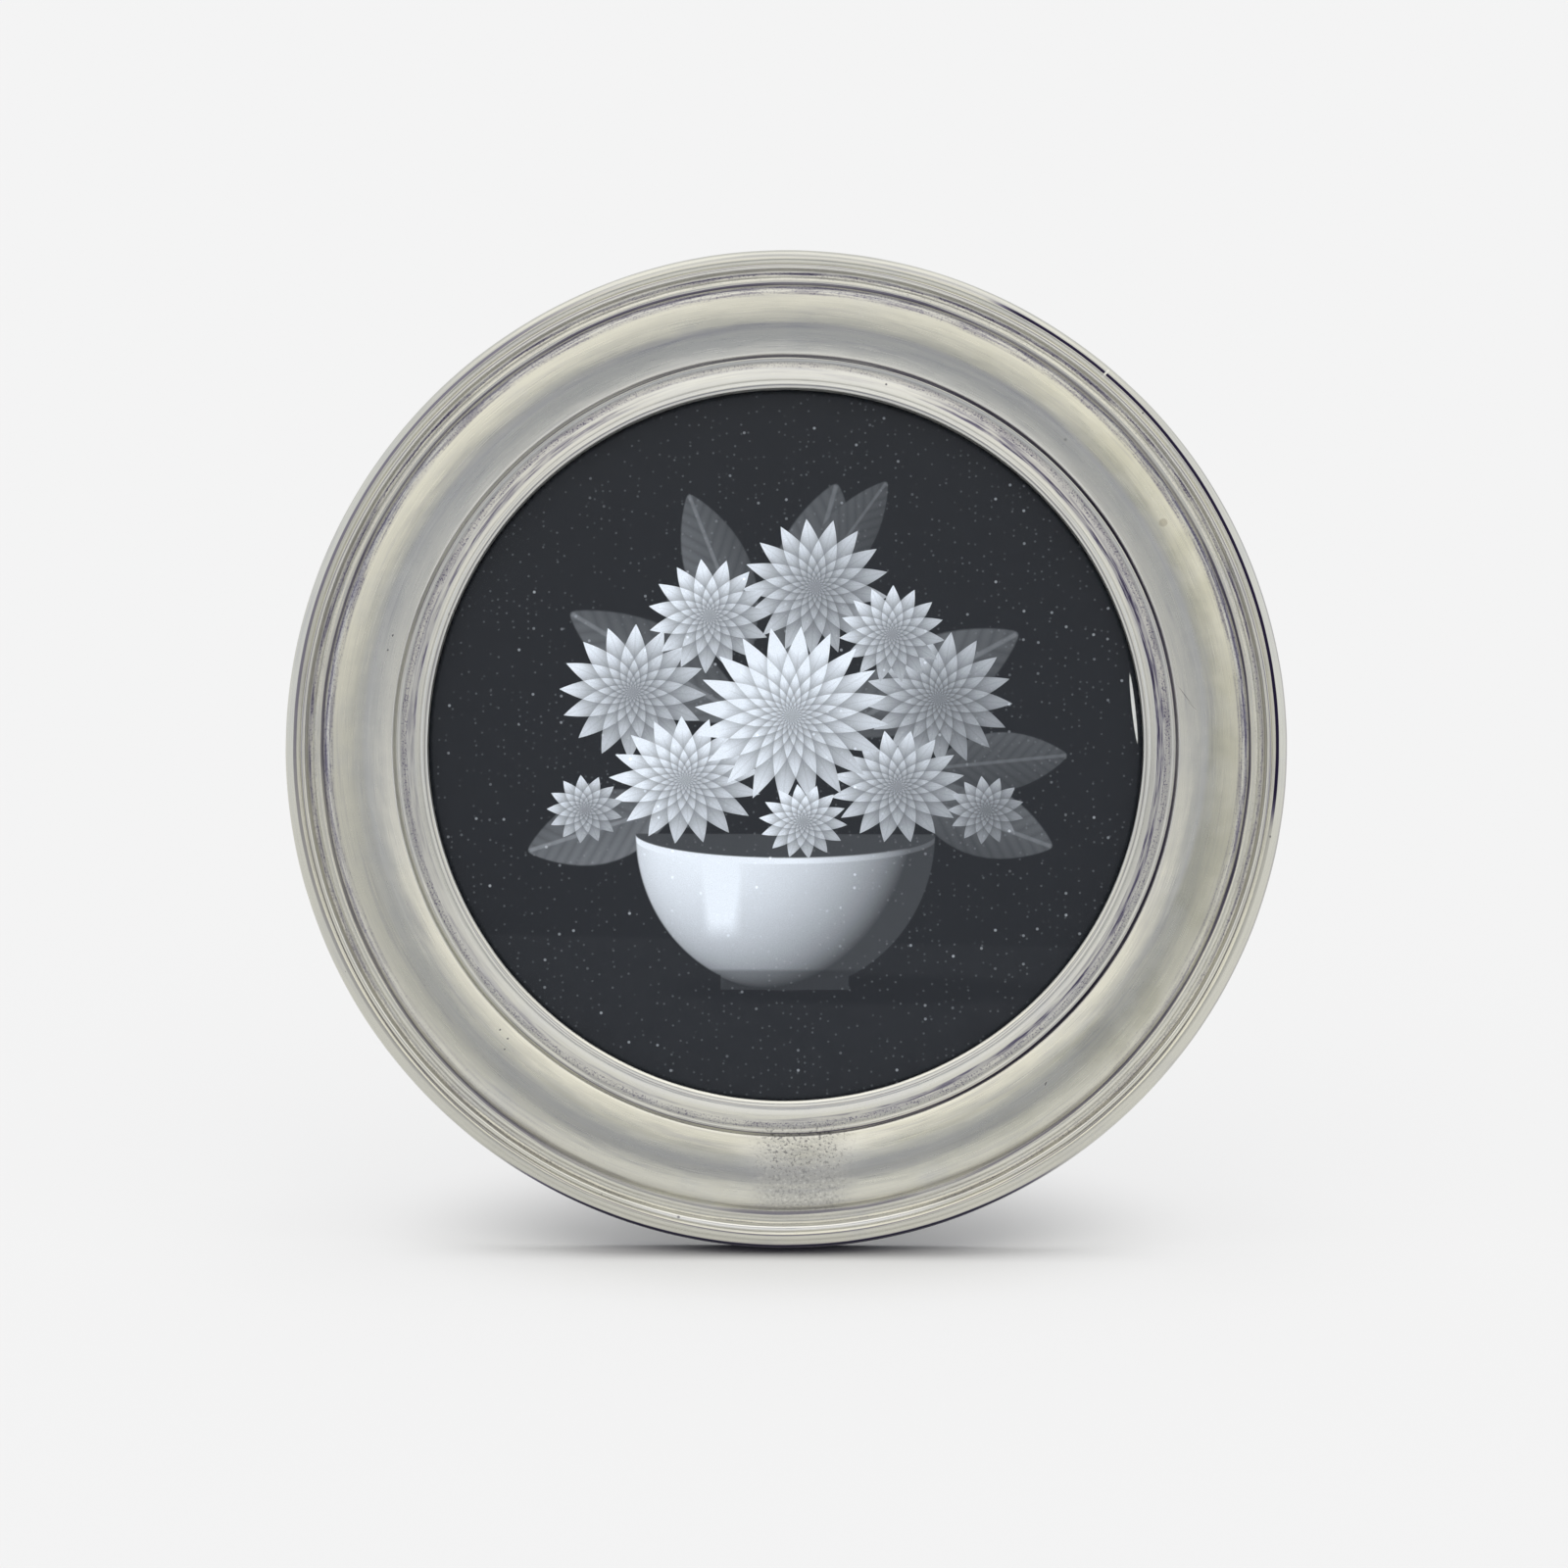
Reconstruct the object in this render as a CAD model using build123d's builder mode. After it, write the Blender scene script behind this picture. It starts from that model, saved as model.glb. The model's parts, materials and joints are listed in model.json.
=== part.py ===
# Round pewter photo frame with an easel back, standing on a table.
# Millimetres. +Z is up and the face looks along -Y. The origin lies on the table, in the middle of
# the space that the frame takes up. The frame leans back, and its leg is open against its stop.
from math import cos, radians, sin, sqrt, tan
import os

from build123d import *

os.makedirs("parts", exist_ok=True)

# How it stands
lean = 14.0                # degrees that the face leans back
leg_lean = 10.0            # degrees that the leg slopes the other way
standing_flat_depth = 0.5  # ground off the back edge where the ring stands

# What the ring holds, from the front to the back
glass_diameter = 127.0
glass_thickness = 2.0
print_thickness = 0.3
filler_thickness = 3.0
board_thickness = 4.0
felt_thickness = 0.6
rabbet_gap = 0.3           # round the edge of the glass, card and board
print_inset = 0.4
felt_inset = 0.5
glass_seam = 0.3           # chamfer on the edges of the glass

# The ring's moulded face
ledge_width = 3.3          # how far the lip covers the glass
lip_thickness = 2.6
face_width = 24.5
back_edge_r = 0.5
pocket_wall = 3.9
pocket_depth = 3.5
pocket_corner_r = 3.0
boss_width = 34.0          # solid stretches between the pockets, for the screws

# The turn buttons and their screws
button_count = 4
button_inset = 6.7         # from the rabbet's wall out to the pivot
button_reach = 10.5
button_pivot_r = 4.2
button_tip_r = 3.0
button_thickness = 1.2
button_nib_r = 1.5
button_nib_height = 0.5
edge_break = 0.2
washer_r = 3.6
washer_thickness = 0.3
screw_r = 1.5
screw_reach = 7.0
screw_tip = 1.4
screw_hole_gap = 0.03
screw_hole_spare = 0.6
screw_head_r = 2.9
screw_head_rim = 0.5
screw_head_dome = 1.0
slot_width = 0.7
slot_depth = 0.8
slot_turns = (20.0, 75.0, 130.0, 50.0)  # degrees
running_gap = 0.06

# The easel hinge
hinge_rise = 25.0          # from the ring's centre up to the hinge
hinge_width = 24.0
knuckle_r = 1.7
middle_knuckle = 9.0
pin_r = 0.8
pin_head_r = 1.2
pin_head = 0.5
pin_gap = 0.05
hinge_gap = 0.3
leaf_length = 15.0
leaf_thickness = 0.8
leaf_corner_r = 2.5
folded_gap = 1.0           # from the back to the leg's leaf when folded
stop_gap = 0.15
tongue_width = 7.0
tongue_reach = 4.6
rivet_r = 1.2
rivet_gap = 0.05
rivet_head_r = 2.2
rivet_head = 0.6
rivet_spread = 13.0
rivet_rise = 9.0           # from the hinge pin to the rivets
clinch_well_r = 3.0
clinch_well_depth = 1.0
clinch_head = 0.7

# The easel leg
leg_thickness = 3.0
leg_top_width = 26.0
leg_foot_width = 31.0
leg_top_gap = 0.5          # from the knuckles to the leg's top edge
leg_corner_r = 4.0
leg_felt_inset = 0.5
leg_felt_trim = 1.0        # cloth stops this far above the table
felt_leaf_gap = 0.6        # from the hinge leaf to the cloth on that side
cut_overrun = 5.0

# The face's section, stretch by stretch from the opening to the outer wall. Each point is its place
# across the face and its height above the back, as shares of the face's width and of its depth.
# A stretch of two points is straight and one of three is an arc.
wide_band_shares = ((0.247, 0.928), (0.465, 0.984), (0.682, 0.932))
section_shares = (
    ((0.000, 0.966), (0.020, 1.000), (0.045, 0.980)),  # lip bead
    ((0.045, 0.980), (0.050, 0.968)),
    ((0.050, 0.968), (0.062, 0.974)),
    ((0.062, 0.974), (0.139, 0.913)),                  # slope down to the patina fillet
    ((0.139, 0.913), (0.184, 0.887), (0.222, 0.897)),
    ((0.222, 0.897), (0.231, 0.857)),                  # inner groove
    ((0.231, 0.857), (0.247, 0.928)),
    wide_band_shares,
    ((0.682, 0.932), (0.728, 0.845), (0.753, 0.726)),
    ((0.753, 0.726), (0.759, 0.698)),                  # outer groove
    ((0.759, 0.698), (0.773, 0.738)),
    ((0.773, 0.738), (0.788, 0.744), (0.801, 0.726)),  # small fillet
    ((0.801, 0.726), (0.829, 0.714), (0.853, 0.750)),  # cove
    ((0.853, 0.750), (0.872, 0.780), (0.890, 0.754)),  # small bead
    ((0.890, 0.754), (0.897, 0.730)),
    ((0.897, 0.730), (0.903, 0.740)),
    ((0.903, 0.740), (0.931, 0.752), (0.955, 0.714)),  # outer bead
    ((0.955, 0.714), (0.960, 0.694)),
    ((0.960, 0.694), (0.988, 0.655), (1.000, 0.571)),  # roll-off to the wall
)
foremost_share = wide_band_shares[-1]  # this edge of the band leads at the bottom of the ring

# Sizes that follow
glass_r = glass_diameter / 2
rabbet_r = glass_r + rabbet_gap
opening_r = rabbet_r - ledge_width
ring_r = opening_r + face_width
pivot_r = rabbet_r + button_inset
pocket_r = (rabbet_r + ring_r) / 2

board_front = felt_thickness + board_thickness
print_back = board_front + filler_thickness
glass_back = print_back + print_thickness
ledge_height = glass_back + glass_thickness
face_depth = ledge_height + lip_thickness

button_front = washer_thickness + running_gap
head_seat = button_front + button_thickness + running_gap

hinge_drop = knuckle_r + hinge_gap
side_knuckle = (hinge_width - middle_knuckle) / 2 - hinge_gap
leg_front = hinge_drop - folded_gap - leaf_thickness
leg_back = leg_front - leg_thickness
leg_top = knuckle_r + leg_top_gap

# Where the ring's centre and the hinge's pin lie
ring_height = ring_r * cos(radians(lean)) - standing_flat_depth
hinge_back = hinge_rise * sin(radians(lean)) + hinge_drop * cos(radians(lean))
hinge_height = ring_height + hinge_rise * cos(radians(lean)) - hinge_drop * sin(radians(lean))
foremost_r = opening_r + face_width * foremost_share[0]
front_reach = foremost_r * sin(radians(lean)) + face_depth * foremost_share[1] * cos(radians(lean))
leg_skin = felt_thickness - leg_back
foot_height = hinge_height - leg_felt_trim + leg_skin * sin(radians(leg_lean))
foot_reach = foot_height * tan(radians(leg_lean)) + leg_skin * cos(radians(leg_lean))
back_reach = hinge_back + foot_reach
ring_setback = (front_reach - back_reach) / 2
leg_reach = hinge_height / cos(radians(leg_lean)) + cut_overrun


def tilted_plane(origin, angle):
    """A plane with x to the right, y up the slope and z to the front, leaning back by angle."""
    return Plane(origin=origin, x_dir=(1, 0, 0), z_dir=(0, -cos(radians(angle)), sin(radians(angle))))


def turning_plane(plane, x, y):
    """A plane through the point (x, y) of another, with its y along that plane's normal."""
    return Plane(origin=plane.from_local_coords((x, y, 0)), x_dir=plane.x_dir, z_dir=-plane.y_dir)


def dome(radius, height, base, outward):
    """Three points on a low dome's outline, from its rim to its crown."""
    sphere = (radius**2 + height**2) / (2 * height)
    half = radius / 2
    rise = height - sphere + sqrt(sphere**2 - half**2)
    return [(radius, base), (half, base + outward * rise), (0, base + outward * height)]


def leg_corners(margin):
    """The corners of the leg's face, drawn in by margin. It runs on below the table."""
    top = leg_top_width / 2 - margin
    foot = leg_foot_width / 2 - margin
    return [(-top, -leg_top - margin), (top, -leg_top - margin), (foot, -leg_reach), (-foot, -leg_reach)]


def face_point(share):
    return (opening_r + face_width * share[0], face_depth * share[1])


def finish(piece, name):
    piece.part.label = name
    export_step(piece.part, f"parts/{name}.step")


ring_plane = tilted_plane((0, ring_setback, ring_height), lean)
ring_axis = Axis(ring_plane.origin, ring_plane.z_dir)
hinge_origin = (0, ring_setback + hinge_back, hinge_height)
open_leg_plane = tilted_plane(hinge_origin, -leg_lean)
hinge_plane = tilted_plane(hinge_origin, lean)
knuckle_plane = Plane(origin=hinge_origin, x_dir=hinge_plane.y_dir, z_dir=(1, 0, 0))
hinge_seat_plane = hinge_plane.offset(hinge_drop)
rivet_places = [(-rivet_spread / 2, rivet_rise), (rivet_spread / 2, rivet_rise)]
leg_rivet_places = [(x, -y) for x, y in rivet_places]

# Cast ring: its face and wall are turned in one section, then the back is relieved and drilled
with BuildPart() as frame_ring:
    with BuildSketch(turning_plane(ring_plane, 0, 0)):
        with BuildLine():
            for stretch in section_shares:
                points = [face_point(share) for share in stretch]
                if len(points) == 2:
                    Line(*points)
                else:
                    ThreePointArc(*points)
            wall_top = face_point(section_shares[-1][-1])
            Line(wall_top, (ring_r, back_edge_r))
            RadiusArc((ring_r, back_edge_r), (ring_r - back_edge_r, 0), back_edge_r)
            Polyline(
                (ring_r - back_edge_r, 0),
                (rabbet_r, 0),
                (rabbet_r, ledge_height),
                (opening_r, ledge_height),
                face_point(section_shares[0][0]),
            )
        make_face()
    revolve(axis=ring_axis, revolution_arc=360)
    with BuildSketch(ring_plane):
        Circle(ring_r - pocket_wall)
        Circle(rabbet_r + pocket_wall, mode=Mode.SUBTRACT)
        with PolarLocations(pocket_r, button_count, start_angle=180 / button_count):
            Rectangle(ring_r - rabbet_r, boss_width, mode=Mode.SUBTRACT)
        fillet(vertices(), pocket_corner_r)
    extrude(amount=pocket_depth, mode=Mode.SUBTRACT)
    with BuildSketch(ring_plane):
        with PolarLocations(pivot_r, button_count, start_angle=180 / button_count):
            Circle(screw_r + screw_hole_gap)
    extrude(amount=screw_reach + screw_hole_spare, mode=Mode.SUBTRACT)
    split(bisect_by=Plane.XY, keep=Keep.TOP)
finish(frame_ring, "frame_ring")

# Round glass against the ring's ledge, its edges seamed
with BuildPart() as glass_pane:
    with BuildSketch(ring_plane.offset(glass_back)):
        Circle(glass_r)
    extrude(amount=glass_thickness)
    chamfer(glass_pane.edges(), glass_seam)
finish(glass_pane, "glass_pane")

# Paper print behind the glass
with BuildPart() as photo_print:
    with BuildSketch(ring_plane.offset(print_back)):
        Circle(glass_r - print_inset)
    extrude(amount=print_thickness)
finish(photo_print, "photo_print")

# Thick card that presses the print to the glass
with BuildPart() as filler_card:
    with BuildSketch(ring_plane.offset(board_front)):
        Circle(glass_r - print_inset)
    extrude(amount=filler_thickness)
finish(filler_card, "filler_card")

# Hardboard back, with wells on its front for the clinched rivets
with BuildPart() as back_board:
    with BuildSketch(ring_plane.offset(felt_thickness)):
        Circle(glass_r)
    extrude(amount=board_thickness)
    with BuildSketch(hinge_seat_plane.offset(felt_thickness)):
        with Locations(*rivet_places):
            Circle(rivet_r + rivet_gap)
    extrude(amount=board_thickness, mode=Mode.SUBTRACT)
    with BuildSketch(hinge_seat_plane.offset(board_front)):
        with Locations(*rivet_places):
            Circle(clinch_well_r)
    extrude(amount=-clinch_well_depth, mode=Mode.SUBTRACT)
finish(back_board, "back_board")

# Cloth glued on the back board
with BuildPart() as back_felt:
    with BuildSketch(ring_plane):
        Circle(glass_r - felt_inset)
    extrude(amount=felt_thickness)
    with BuildSketch(hinge_seat_plane):
        with Locations(*rivet_places):
            Circle(rivet_r + rivet_gap)
    extrude(amount=felt_thickness, mode=Mode.SUBTRACT)
finish(back_felt, "back_felt")

# Hinge leaf on the back board, with the two outer knuckles and a notch for the middle one
with BuildPart() as hinge_fixed_leaf:
    with BuildSketch(hinge_seat_plane):
        Rectangle(hinge_width, leaf_length, align=(Align.CENTER, Align.MIN))
        fillet(vertices().group_by(Axis.Y)[-1], leaf_corner_r)
        Rectangle(
            middle_knuckle + 2 * hinge_gap,
            knuckle_r + hinge_gap,
            align=(Align.CENTER, Align.MIN),
            mode=Mode.SUBTRACT,
        )
        with Locations(*rivet_places):
            Circle(rivet_r + rivet_gap, mode=Mode.SUBTRACT)
    extrude(amount=-leaf_thickness)
    for side in (-1, 1):
        with BuildSketch(knuckle_plane.offset(side * (hinge_width / 2 - side_knuckle))):
            Circle(knuckle_r)
        extrude(amount=side * side_knuckle)
    with BuildSketch(knuckle_plane):
        Circle(pin_r + pin_gap)
    extrude(amount=hinge_width, both=True, mode=Mode.SUBTRACT)
finish(hinge_fixed_leaf, "hinge_fixed_leaf")

# Hinge pin, its two ends spread into heads
with BuildPart() as hinge_pin:
    with BuildSketch(knuckle_plane):
        Circle(pin_r)
    extrude(amount=hinge_width / 2, both=True)
    for side in (-1, 1):
        with BuildSketch(knuckle_plane.offset(side * hinge_width / 2)):
            Circle(pin_head_r)
        extrude(amount=side * pin_head)
finish(hinge_pin, "hinge_pin")

# Rivets through the leaf, cloth and board, clinched in the board's wells
board_clinch = board_front - clinch_well_depth
with BuildPart() as hinge_board_rivets:
    for x, y in rivet_places:
        rivet_plane = turning_plane(hinge_seat_plane, x, y)
        with BuildSketch(rivet_plane):
            with BuildLine():
                ThreePointArc(*dome(rivet_head_r, rivet_head, -leaf_thickness, -1))
                Polyline(
                    (rivet_head_r, -leaf_thickness),
                    (rivet_r, -leaf_thickness),
                    (rivet_r, board_clinch),
                    (rivet_head_r, board_clinch),
                )
                ThreePointArc(*dome(rivet_head_r, clinch_head, board_clinch, 1))
                Line((0, board_clinch + clinch_head), (0, -leaf_thickness - rivet_head))
            make_face()
        revolve(axis=Axis(rivet_plane.origin, rivet_plane.y_dir), revolution_arc=360)
finish(hinge_board_rivets, "hinge_board_rivets")

# Washers between the turn buttons and the ring
with BuildPart() as turn_button_washers:
    with BuildSketch(ring_plane):
        with PolarLocations(pivot_r, button_count, start_angle=180 / button_count):
            Circle(washer_r)
            Circle(screw_r + running_gap, mode=Mode.SUBTRACT)
    extrude(amount=-washer_thickness)
finish(turn_button_washers, "turn_button_washers")

# Screws in the ring's back, their heads standing just clear of the turn buttons
with BuildPart() as turn_button_screws:
    for index, slot_turn in enumerate(slot_turns):
        angle = radians((index + 0.5) * 360 / button_count)
        screw_plane = turning_plane(ring_plane, pivot_r * cos(angle), pivot_r * sin(angle))
        head_rim = -head_seat - screw_head_rim
        with BuildSketch(screw_plane):
            with BuildLine():
                Polyline(
                    (0, screw_reach),
                    (screw_r, screw_reach - screw_tip),
                    (screw_r, -head_seat),
                    (screw_head_r, -head_seat),
                    (screw_head_r, head_rim),
                )
                ThreePointArc(*dome(screw_head_r, screw_head_dome, head_rim, -1))
                Line((0, head_rim - screw_head_dome), (0, screw_reach))
            make_face()
        revolve(axis=Axis(screw_plane.origin, screw_plane.y_dir), revolution_arc=360)
        slot_plane = Plane(origin=screw_plane.origin, x_dir=ring_plane.x_dir, z_dir=-ring_plane.z_dir)
        with BuildSketch(slot_plane.offset(screw_head_dome - head_rim)):
            Rectangle(slot_width, 2 * screw_head_r, rotation=slot_turn)
        extrude(amount=-slot_depth, mode=Mode.SUBTRACT)
finish(turn_button_screws, "turn_button_screws")

# Turn buttons, each a plate that reaches over the back's edge, with a nib for a fingernail
button_names = ("upper_right", "upper_left", "lower_left", "lower_right")
for index, corner in enumerate(button_names):
    angle = radians((index + 0.5) * 360 / button_count)
    button_plane = Plane(
        origin=ring_plane.from_local_coords((pivot_r * cos(angle), pivot_r * sin(angle), 0)),
        x_dir=ring_plane.x_dir * cos(angle) + ring_plane.y_dir * sin(angle),
        z_dir=ring_plane.z_dir,
    )
    with BuildPart() as turn_button:
        with BuildSketch(button_plane.offset(-button_front)):
            Circle(button_pivot_r)
            with Locations((-button_reach, 0)):
                Circle(button_tip_r)
            make_hull()
            Circle(screw_r + running_gap, mode=Mode.SUBTRACT)
        extrude(amount=-button_thickness)
        chamfer(turn_button.edges().group_by(Axis(ring_plane.origin, ring_plane.z_dir))[0], edge_break)
        with BuildSketch(button_plane.offset(-button_front - button_thickness)):
            with Locations((-button_reach, 0)):
                Circle(button_nib_r)
        extrude(amount=-button_nib_height)
    finish(turn_button, f"turn_button_{corner}")
    print(f"turn_button_{corner} turns about", button_plane.origin)

# Easel leg, its foot cut flat along the table
with BuildPart() as easel_leg:
    with BuildSketch(open_leg_plane.offset(leg_front)):
        with BuildLine():
            Polyline(*leg_corners(0), close=True)
        make_face()
        fillet(vertices().group_by(Axis.Y)[-1], leg_corner_r)
        with Locations(*leg_rivet_places):
            Circle(rivet_r + rivet_gap, mode=Mode.SUBTRACT)
    extrude(amount=-leg_thickness)
    split(bisect_by=Plane.XY, keep=Keep.TOP)
finish(easel_leg, "easel_leg")

# Cloth on the leg's outer side
with BuildPart() as leg_outer_felt:
    with BuildSketch(open_leg_plane.offset(leg_back)):
        with BuildLine():
            Polyline(*leg_corners(leg_felt_inset), close=True)
        make_face()
        fillet(vertices().group_by(Axis.Y)[-1], leg_corner_r)
        with Locations(*leg_rivet_places):
            Circle(rivet_r + rivet_gap, mode=Mode.SUBTRACT)
    extrude(amount=-felt_thickness)
    split(bisect_by=Plane.XY.offset(leg_felt_trim), keep=Keep.TOP)
finish(leg_outer_felt, "leg_outer_felt")

# Cloth on the side towards the board, which starts below the hinge leaf
with BuildPart() as leg_inner_felt:
    with BuildSketch(open_leg_plane.offset(leg_front)):
        with BuildLine():
            Polyline(*leg_corners(leg_felt_inset), close=True)
        make_face()
        Rectangle(
            leg_foot_width,
            leaf_length + felt_leaf_gap,
            align=(Align.CENTER, Align.MAX),
            mode=Mode.SUBTRACT,
        )
    extrude(amount=felt_thickness)
    split(bisect_by=Plane.XY.offset(leg_felt_trim), keep=Keep.TOP)
finish(leg_inner_felt, "leg_inner_felt")

# Hinge leaf on the leg. Its tongue meets the other leaf when the leg is open, and so stops it
with BuildPart() as hinge_leg_leaf:
    with BuildSketch(open_leg_plane.offset(leg_front)):
        Rectangle(hinge_width, leaf_length, align=(Align.CENTER, Align.MAX))
        fillet(vertices().group_by(Axis.Y)[0], leaf_corner_r)
        for side in (-1, 1):
            with Locations((side * hinge_width / 2, 0)):
                Rectangle(
                    2 * (side_knuckle + hinge_gap),
                    2 * (knuckle_r + hinge_gap),
                    mode=Mode.SUBTRACT,
                )
        with Locations(*leg_rivet_places):
            Circle(rivet_r + rivet_gap, mode=Mode.SUBTRACT)
    extrude(amount=leaf_thickness)
    with BuildSketch(knuckle_plane):
        Circle(knuckle_r)
    extrude(amount=middle_knuckle / 2, both=True)
    with BuildSketch(hinge_seat_plane.offset(-leaf_thickness - stop_gap)):
        Rectangle(tongue_width, tongue_reach, align=(Align.CENTER, Align.MIN))
    extrude(amount=-leaf_thickness)
    with BuildSketch(knuckle_plane):
        Circle(pin_r + pin_gap)
    extrude(amount=hinge_width, both=True, mode=Mode.SUBTRACT)
finish(hinge_leg_leaf, "hinge_leg_leaf")

# Rivets through the leaf, leg and cloth
leg_clinch = leg_back - felt_thickness
leaf_face = leg_front + leaf_thickness
with BuildPart() as hinge_leg_rivets:
    for x, y in leg_rivet_places:
        rivet_plane = turning_plane(open_leg_plane, x, y)
        with BuildSketch(rivet_plane):
            with BuildLine():
                ThreePointArc(*dome(rivet_head_r, rivet_head, leg_clinch, -1))
                Polyline(
                    (rivet_head_r, leg_clinch),
                    (rivet_r, leg_clinch),
                    (rivet_r, leaf_face),
                    (rivet_head_r, leaf_face),
                )
                ThreePointArc(*dome(rivet_head_r, rivet_head, leaf_face, 1))
                Line((0, leaf_face + rivet_head), (0, leg_clinch - rivet_head))
            make_face()
        revolve(axis=Axis(rivet_plane.origin, rivet_plane.y_dir), revolution_arc=360)
finish(hinge_leg_rivets, "hinge_leg_rivets")

print("ring centre", ring_plane.origin, "radius", ring_r, "opening", opening_r, "depth", face_depth)
print("hinge pin at", hinge_origin)
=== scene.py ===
# %% [markdown]
# A round pewter photo frame on a pale table. The CAD model comes first, as a fixed frame: it says
# where every piece is and which body it moves with. Everything below gives those pieces their looks.

# %% Load the CAD frame
import json
from math import asin, atan2, ceil, cos, degrees, hypot, pi, radians, sin

import bmesh
import bpy
from mathutils import Matrix, Vector


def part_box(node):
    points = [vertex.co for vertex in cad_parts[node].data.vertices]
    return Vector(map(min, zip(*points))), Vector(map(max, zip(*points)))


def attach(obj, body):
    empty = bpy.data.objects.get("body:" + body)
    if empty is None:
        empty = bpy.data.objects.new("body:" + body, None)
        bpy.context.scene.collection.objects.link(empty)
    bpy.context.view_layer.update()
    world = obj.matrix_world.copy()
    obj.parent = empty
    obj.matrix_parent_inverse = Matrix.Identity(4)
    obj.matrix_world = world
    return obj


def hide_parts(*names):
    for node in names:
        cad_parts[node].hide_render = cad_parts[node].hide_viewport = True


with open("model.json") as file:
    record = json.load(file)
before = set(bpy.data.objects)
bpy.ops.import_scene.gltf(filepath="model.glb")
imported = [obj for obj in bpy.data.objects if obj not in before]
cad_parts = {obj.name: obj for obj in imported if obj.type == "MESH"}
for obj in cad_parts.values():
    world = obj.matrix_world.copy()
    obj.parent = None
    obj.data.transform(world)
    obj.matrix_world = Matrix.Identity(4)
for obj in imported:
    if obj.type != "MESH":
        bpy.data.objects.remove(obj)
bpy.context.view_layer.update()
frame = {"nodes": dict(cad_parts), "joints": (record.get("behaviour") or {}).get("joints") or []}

nodes = frame["nodes"]
joints = {joint["name"]: joint for joint in frame["joints"]}
print("nodes:", len(nodes), "joints:", len(joints))

# %% [markdown]
# The ring leans back. Its turn buttons turn about the ring's own axis, so their joints give the lean.
# The glass is a plain disc, so the middle of its box is a point on that axis too. With both, a
# matrix takes a point of the ring's plane (right, up the face, out to the front) to its place.

# %% The ring's plane
mm = 0.001
glass_middle_height = 8.9 * mm  # from the ring's back to the middle of the glass
back_direction = Vector(joints["turn_button_upper_right_turn"]["axis"])
front_direction = -back_direction
lean = atan2(front_direction.z, -front_direction.y)
glass_low, glass_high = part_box("glass_pane")
ring_centre = (glass_low + glass_high) / 2 - front_direction * glass_middle_height
ring_turn = (pi / 2 - lean, 0, 0)
ring_matrix = Matrix.Translation(ring_centre) @ Matrix.Rotation(ring_turn[0], 4, "X")
ring_low, ring_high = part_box("frame_ring")
ring_r = (ring_high.x - ring_low.x) / 2
print(f"lean {degrees(lean):.1f} degrees, ring radius {ring_r / mm:.2f} mm")

# %% [markdown]
# Shader maths reads best as plain expressions. A Wire is one output of a node, and adding or
# multiplying wires adds Math nodes behind the scenes. A Recipe holds one node tree, and its method
# "node" makes any other node: its type, its settings, then the values or wires of its sockets.
# Geometry Nodes trees use the same two classes.


# %% Wires and recipes
def maths(operation, reflected=False):
    """A method that feeds a wire, and the other value if it takes one, to a Math node."""

    def method(self, *other):
        values = (*other, self) if reflected else (self, *other)
        return self.recipe.node("ShaderNodeMath", {"operation": operation}, values)

    return method


class Wire:
    """One output socket. Python's operators and the methods below add Math nodes."""

    def __init__(self, recipe, socket):
        self.recipe = recipe
        self.socket = socket

    def other(self, output):
        """Another output of the same node."""
        return Wire(self.recipe, self.socket.node.outputs[output])

    __add__ = maths("ADD")
    __radd__ = maths("ADD", reflected=True)
    __sub__ = maths("SUBTRACT")
    __rsub__ = maths("SUBTRACT", reflected=True)
    __mul__ = maths("MULTIPLY")
    __rmul__ = maths("MULTIPLY", reflected=True)
    __truediv__ = maths("DIVIDE")
    __pow__ = maths("POWER")
    __abs__ = maths("ABSOLUTE")
    sine = maths("SINE")
    cosine = maths("COSINE")
    angle_to = maths("ARCTAN2")
    logarithm = maths("LOGARITHM")
    fraction = maths("FRACT")
    whole = maths("ROUND")
    least = maths("MINIMUM")
    most = maths("MAXIMUM")


class Recipe:
    """One node tree, filled node by node."""

    def __init__(self, tree):
        self.tree = tree

    def node(self, kind, settings=None, inputs=(), output=0):
        made = self.tree.nodes.new(kind)
        for name, value in (settings or {}).items():
            setattr(made, name, value)
        pairs = inputs.items() if isinstance(inputs, dict) else enumerate(inputs)
        for key, value in pairs:
            socket = made.inputs[key]
            if isinstance(value, Wire):
                self.tree.links.new(value.socket, socket)
            else:
                socket.default_value = value
        return Wire(self, made.outputs[output]) if made.outputs else None

    def mix(self, factor, first, second):
        """A colour between two others."""
        return self.node("ShaderNodeMix", {"data_type": "RGBA"}, {0: factor, 6: first, 7: second}, 2)

    def step(self, value, start, end):
        """Smoothly from 0 at start to 1 at end."""
        settings = {"interpolation_type": "SMOOTHSTEP"}
        return self.node("ShaderNodeMapRange", settings, {0: value, 1: start, 2: end, 3: 0.0, 4: 1.0})

    def band(self, value, centre, half, soft):
        """1 within half of the centre, and 0 from half + soft outwards."""
        return 1 - self.step(abs(value - centre), half, half + soft)

    def noise(self, vector, scale, detail=2.0, rough=0.5, output=0):
        """One noise, or three at once as the channels of its output "Color"."""
        inputs = {"Vector": vector, "Scale": scale, "Detail": detail, "Roughness": rough}
        return self.node("ShaderNodeTexNoise", {}, inputs, output)

    def vector(self, x, y, z):
        return self.node("ShaderNodeCombineXYZ", {}, (x, y, z))

    def split(self, vector):
        parts = self.node("ShaderNodeSeparateXYZ", {}, (vector,))
        return [parts.other(index) for index in range(3)]


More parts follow.
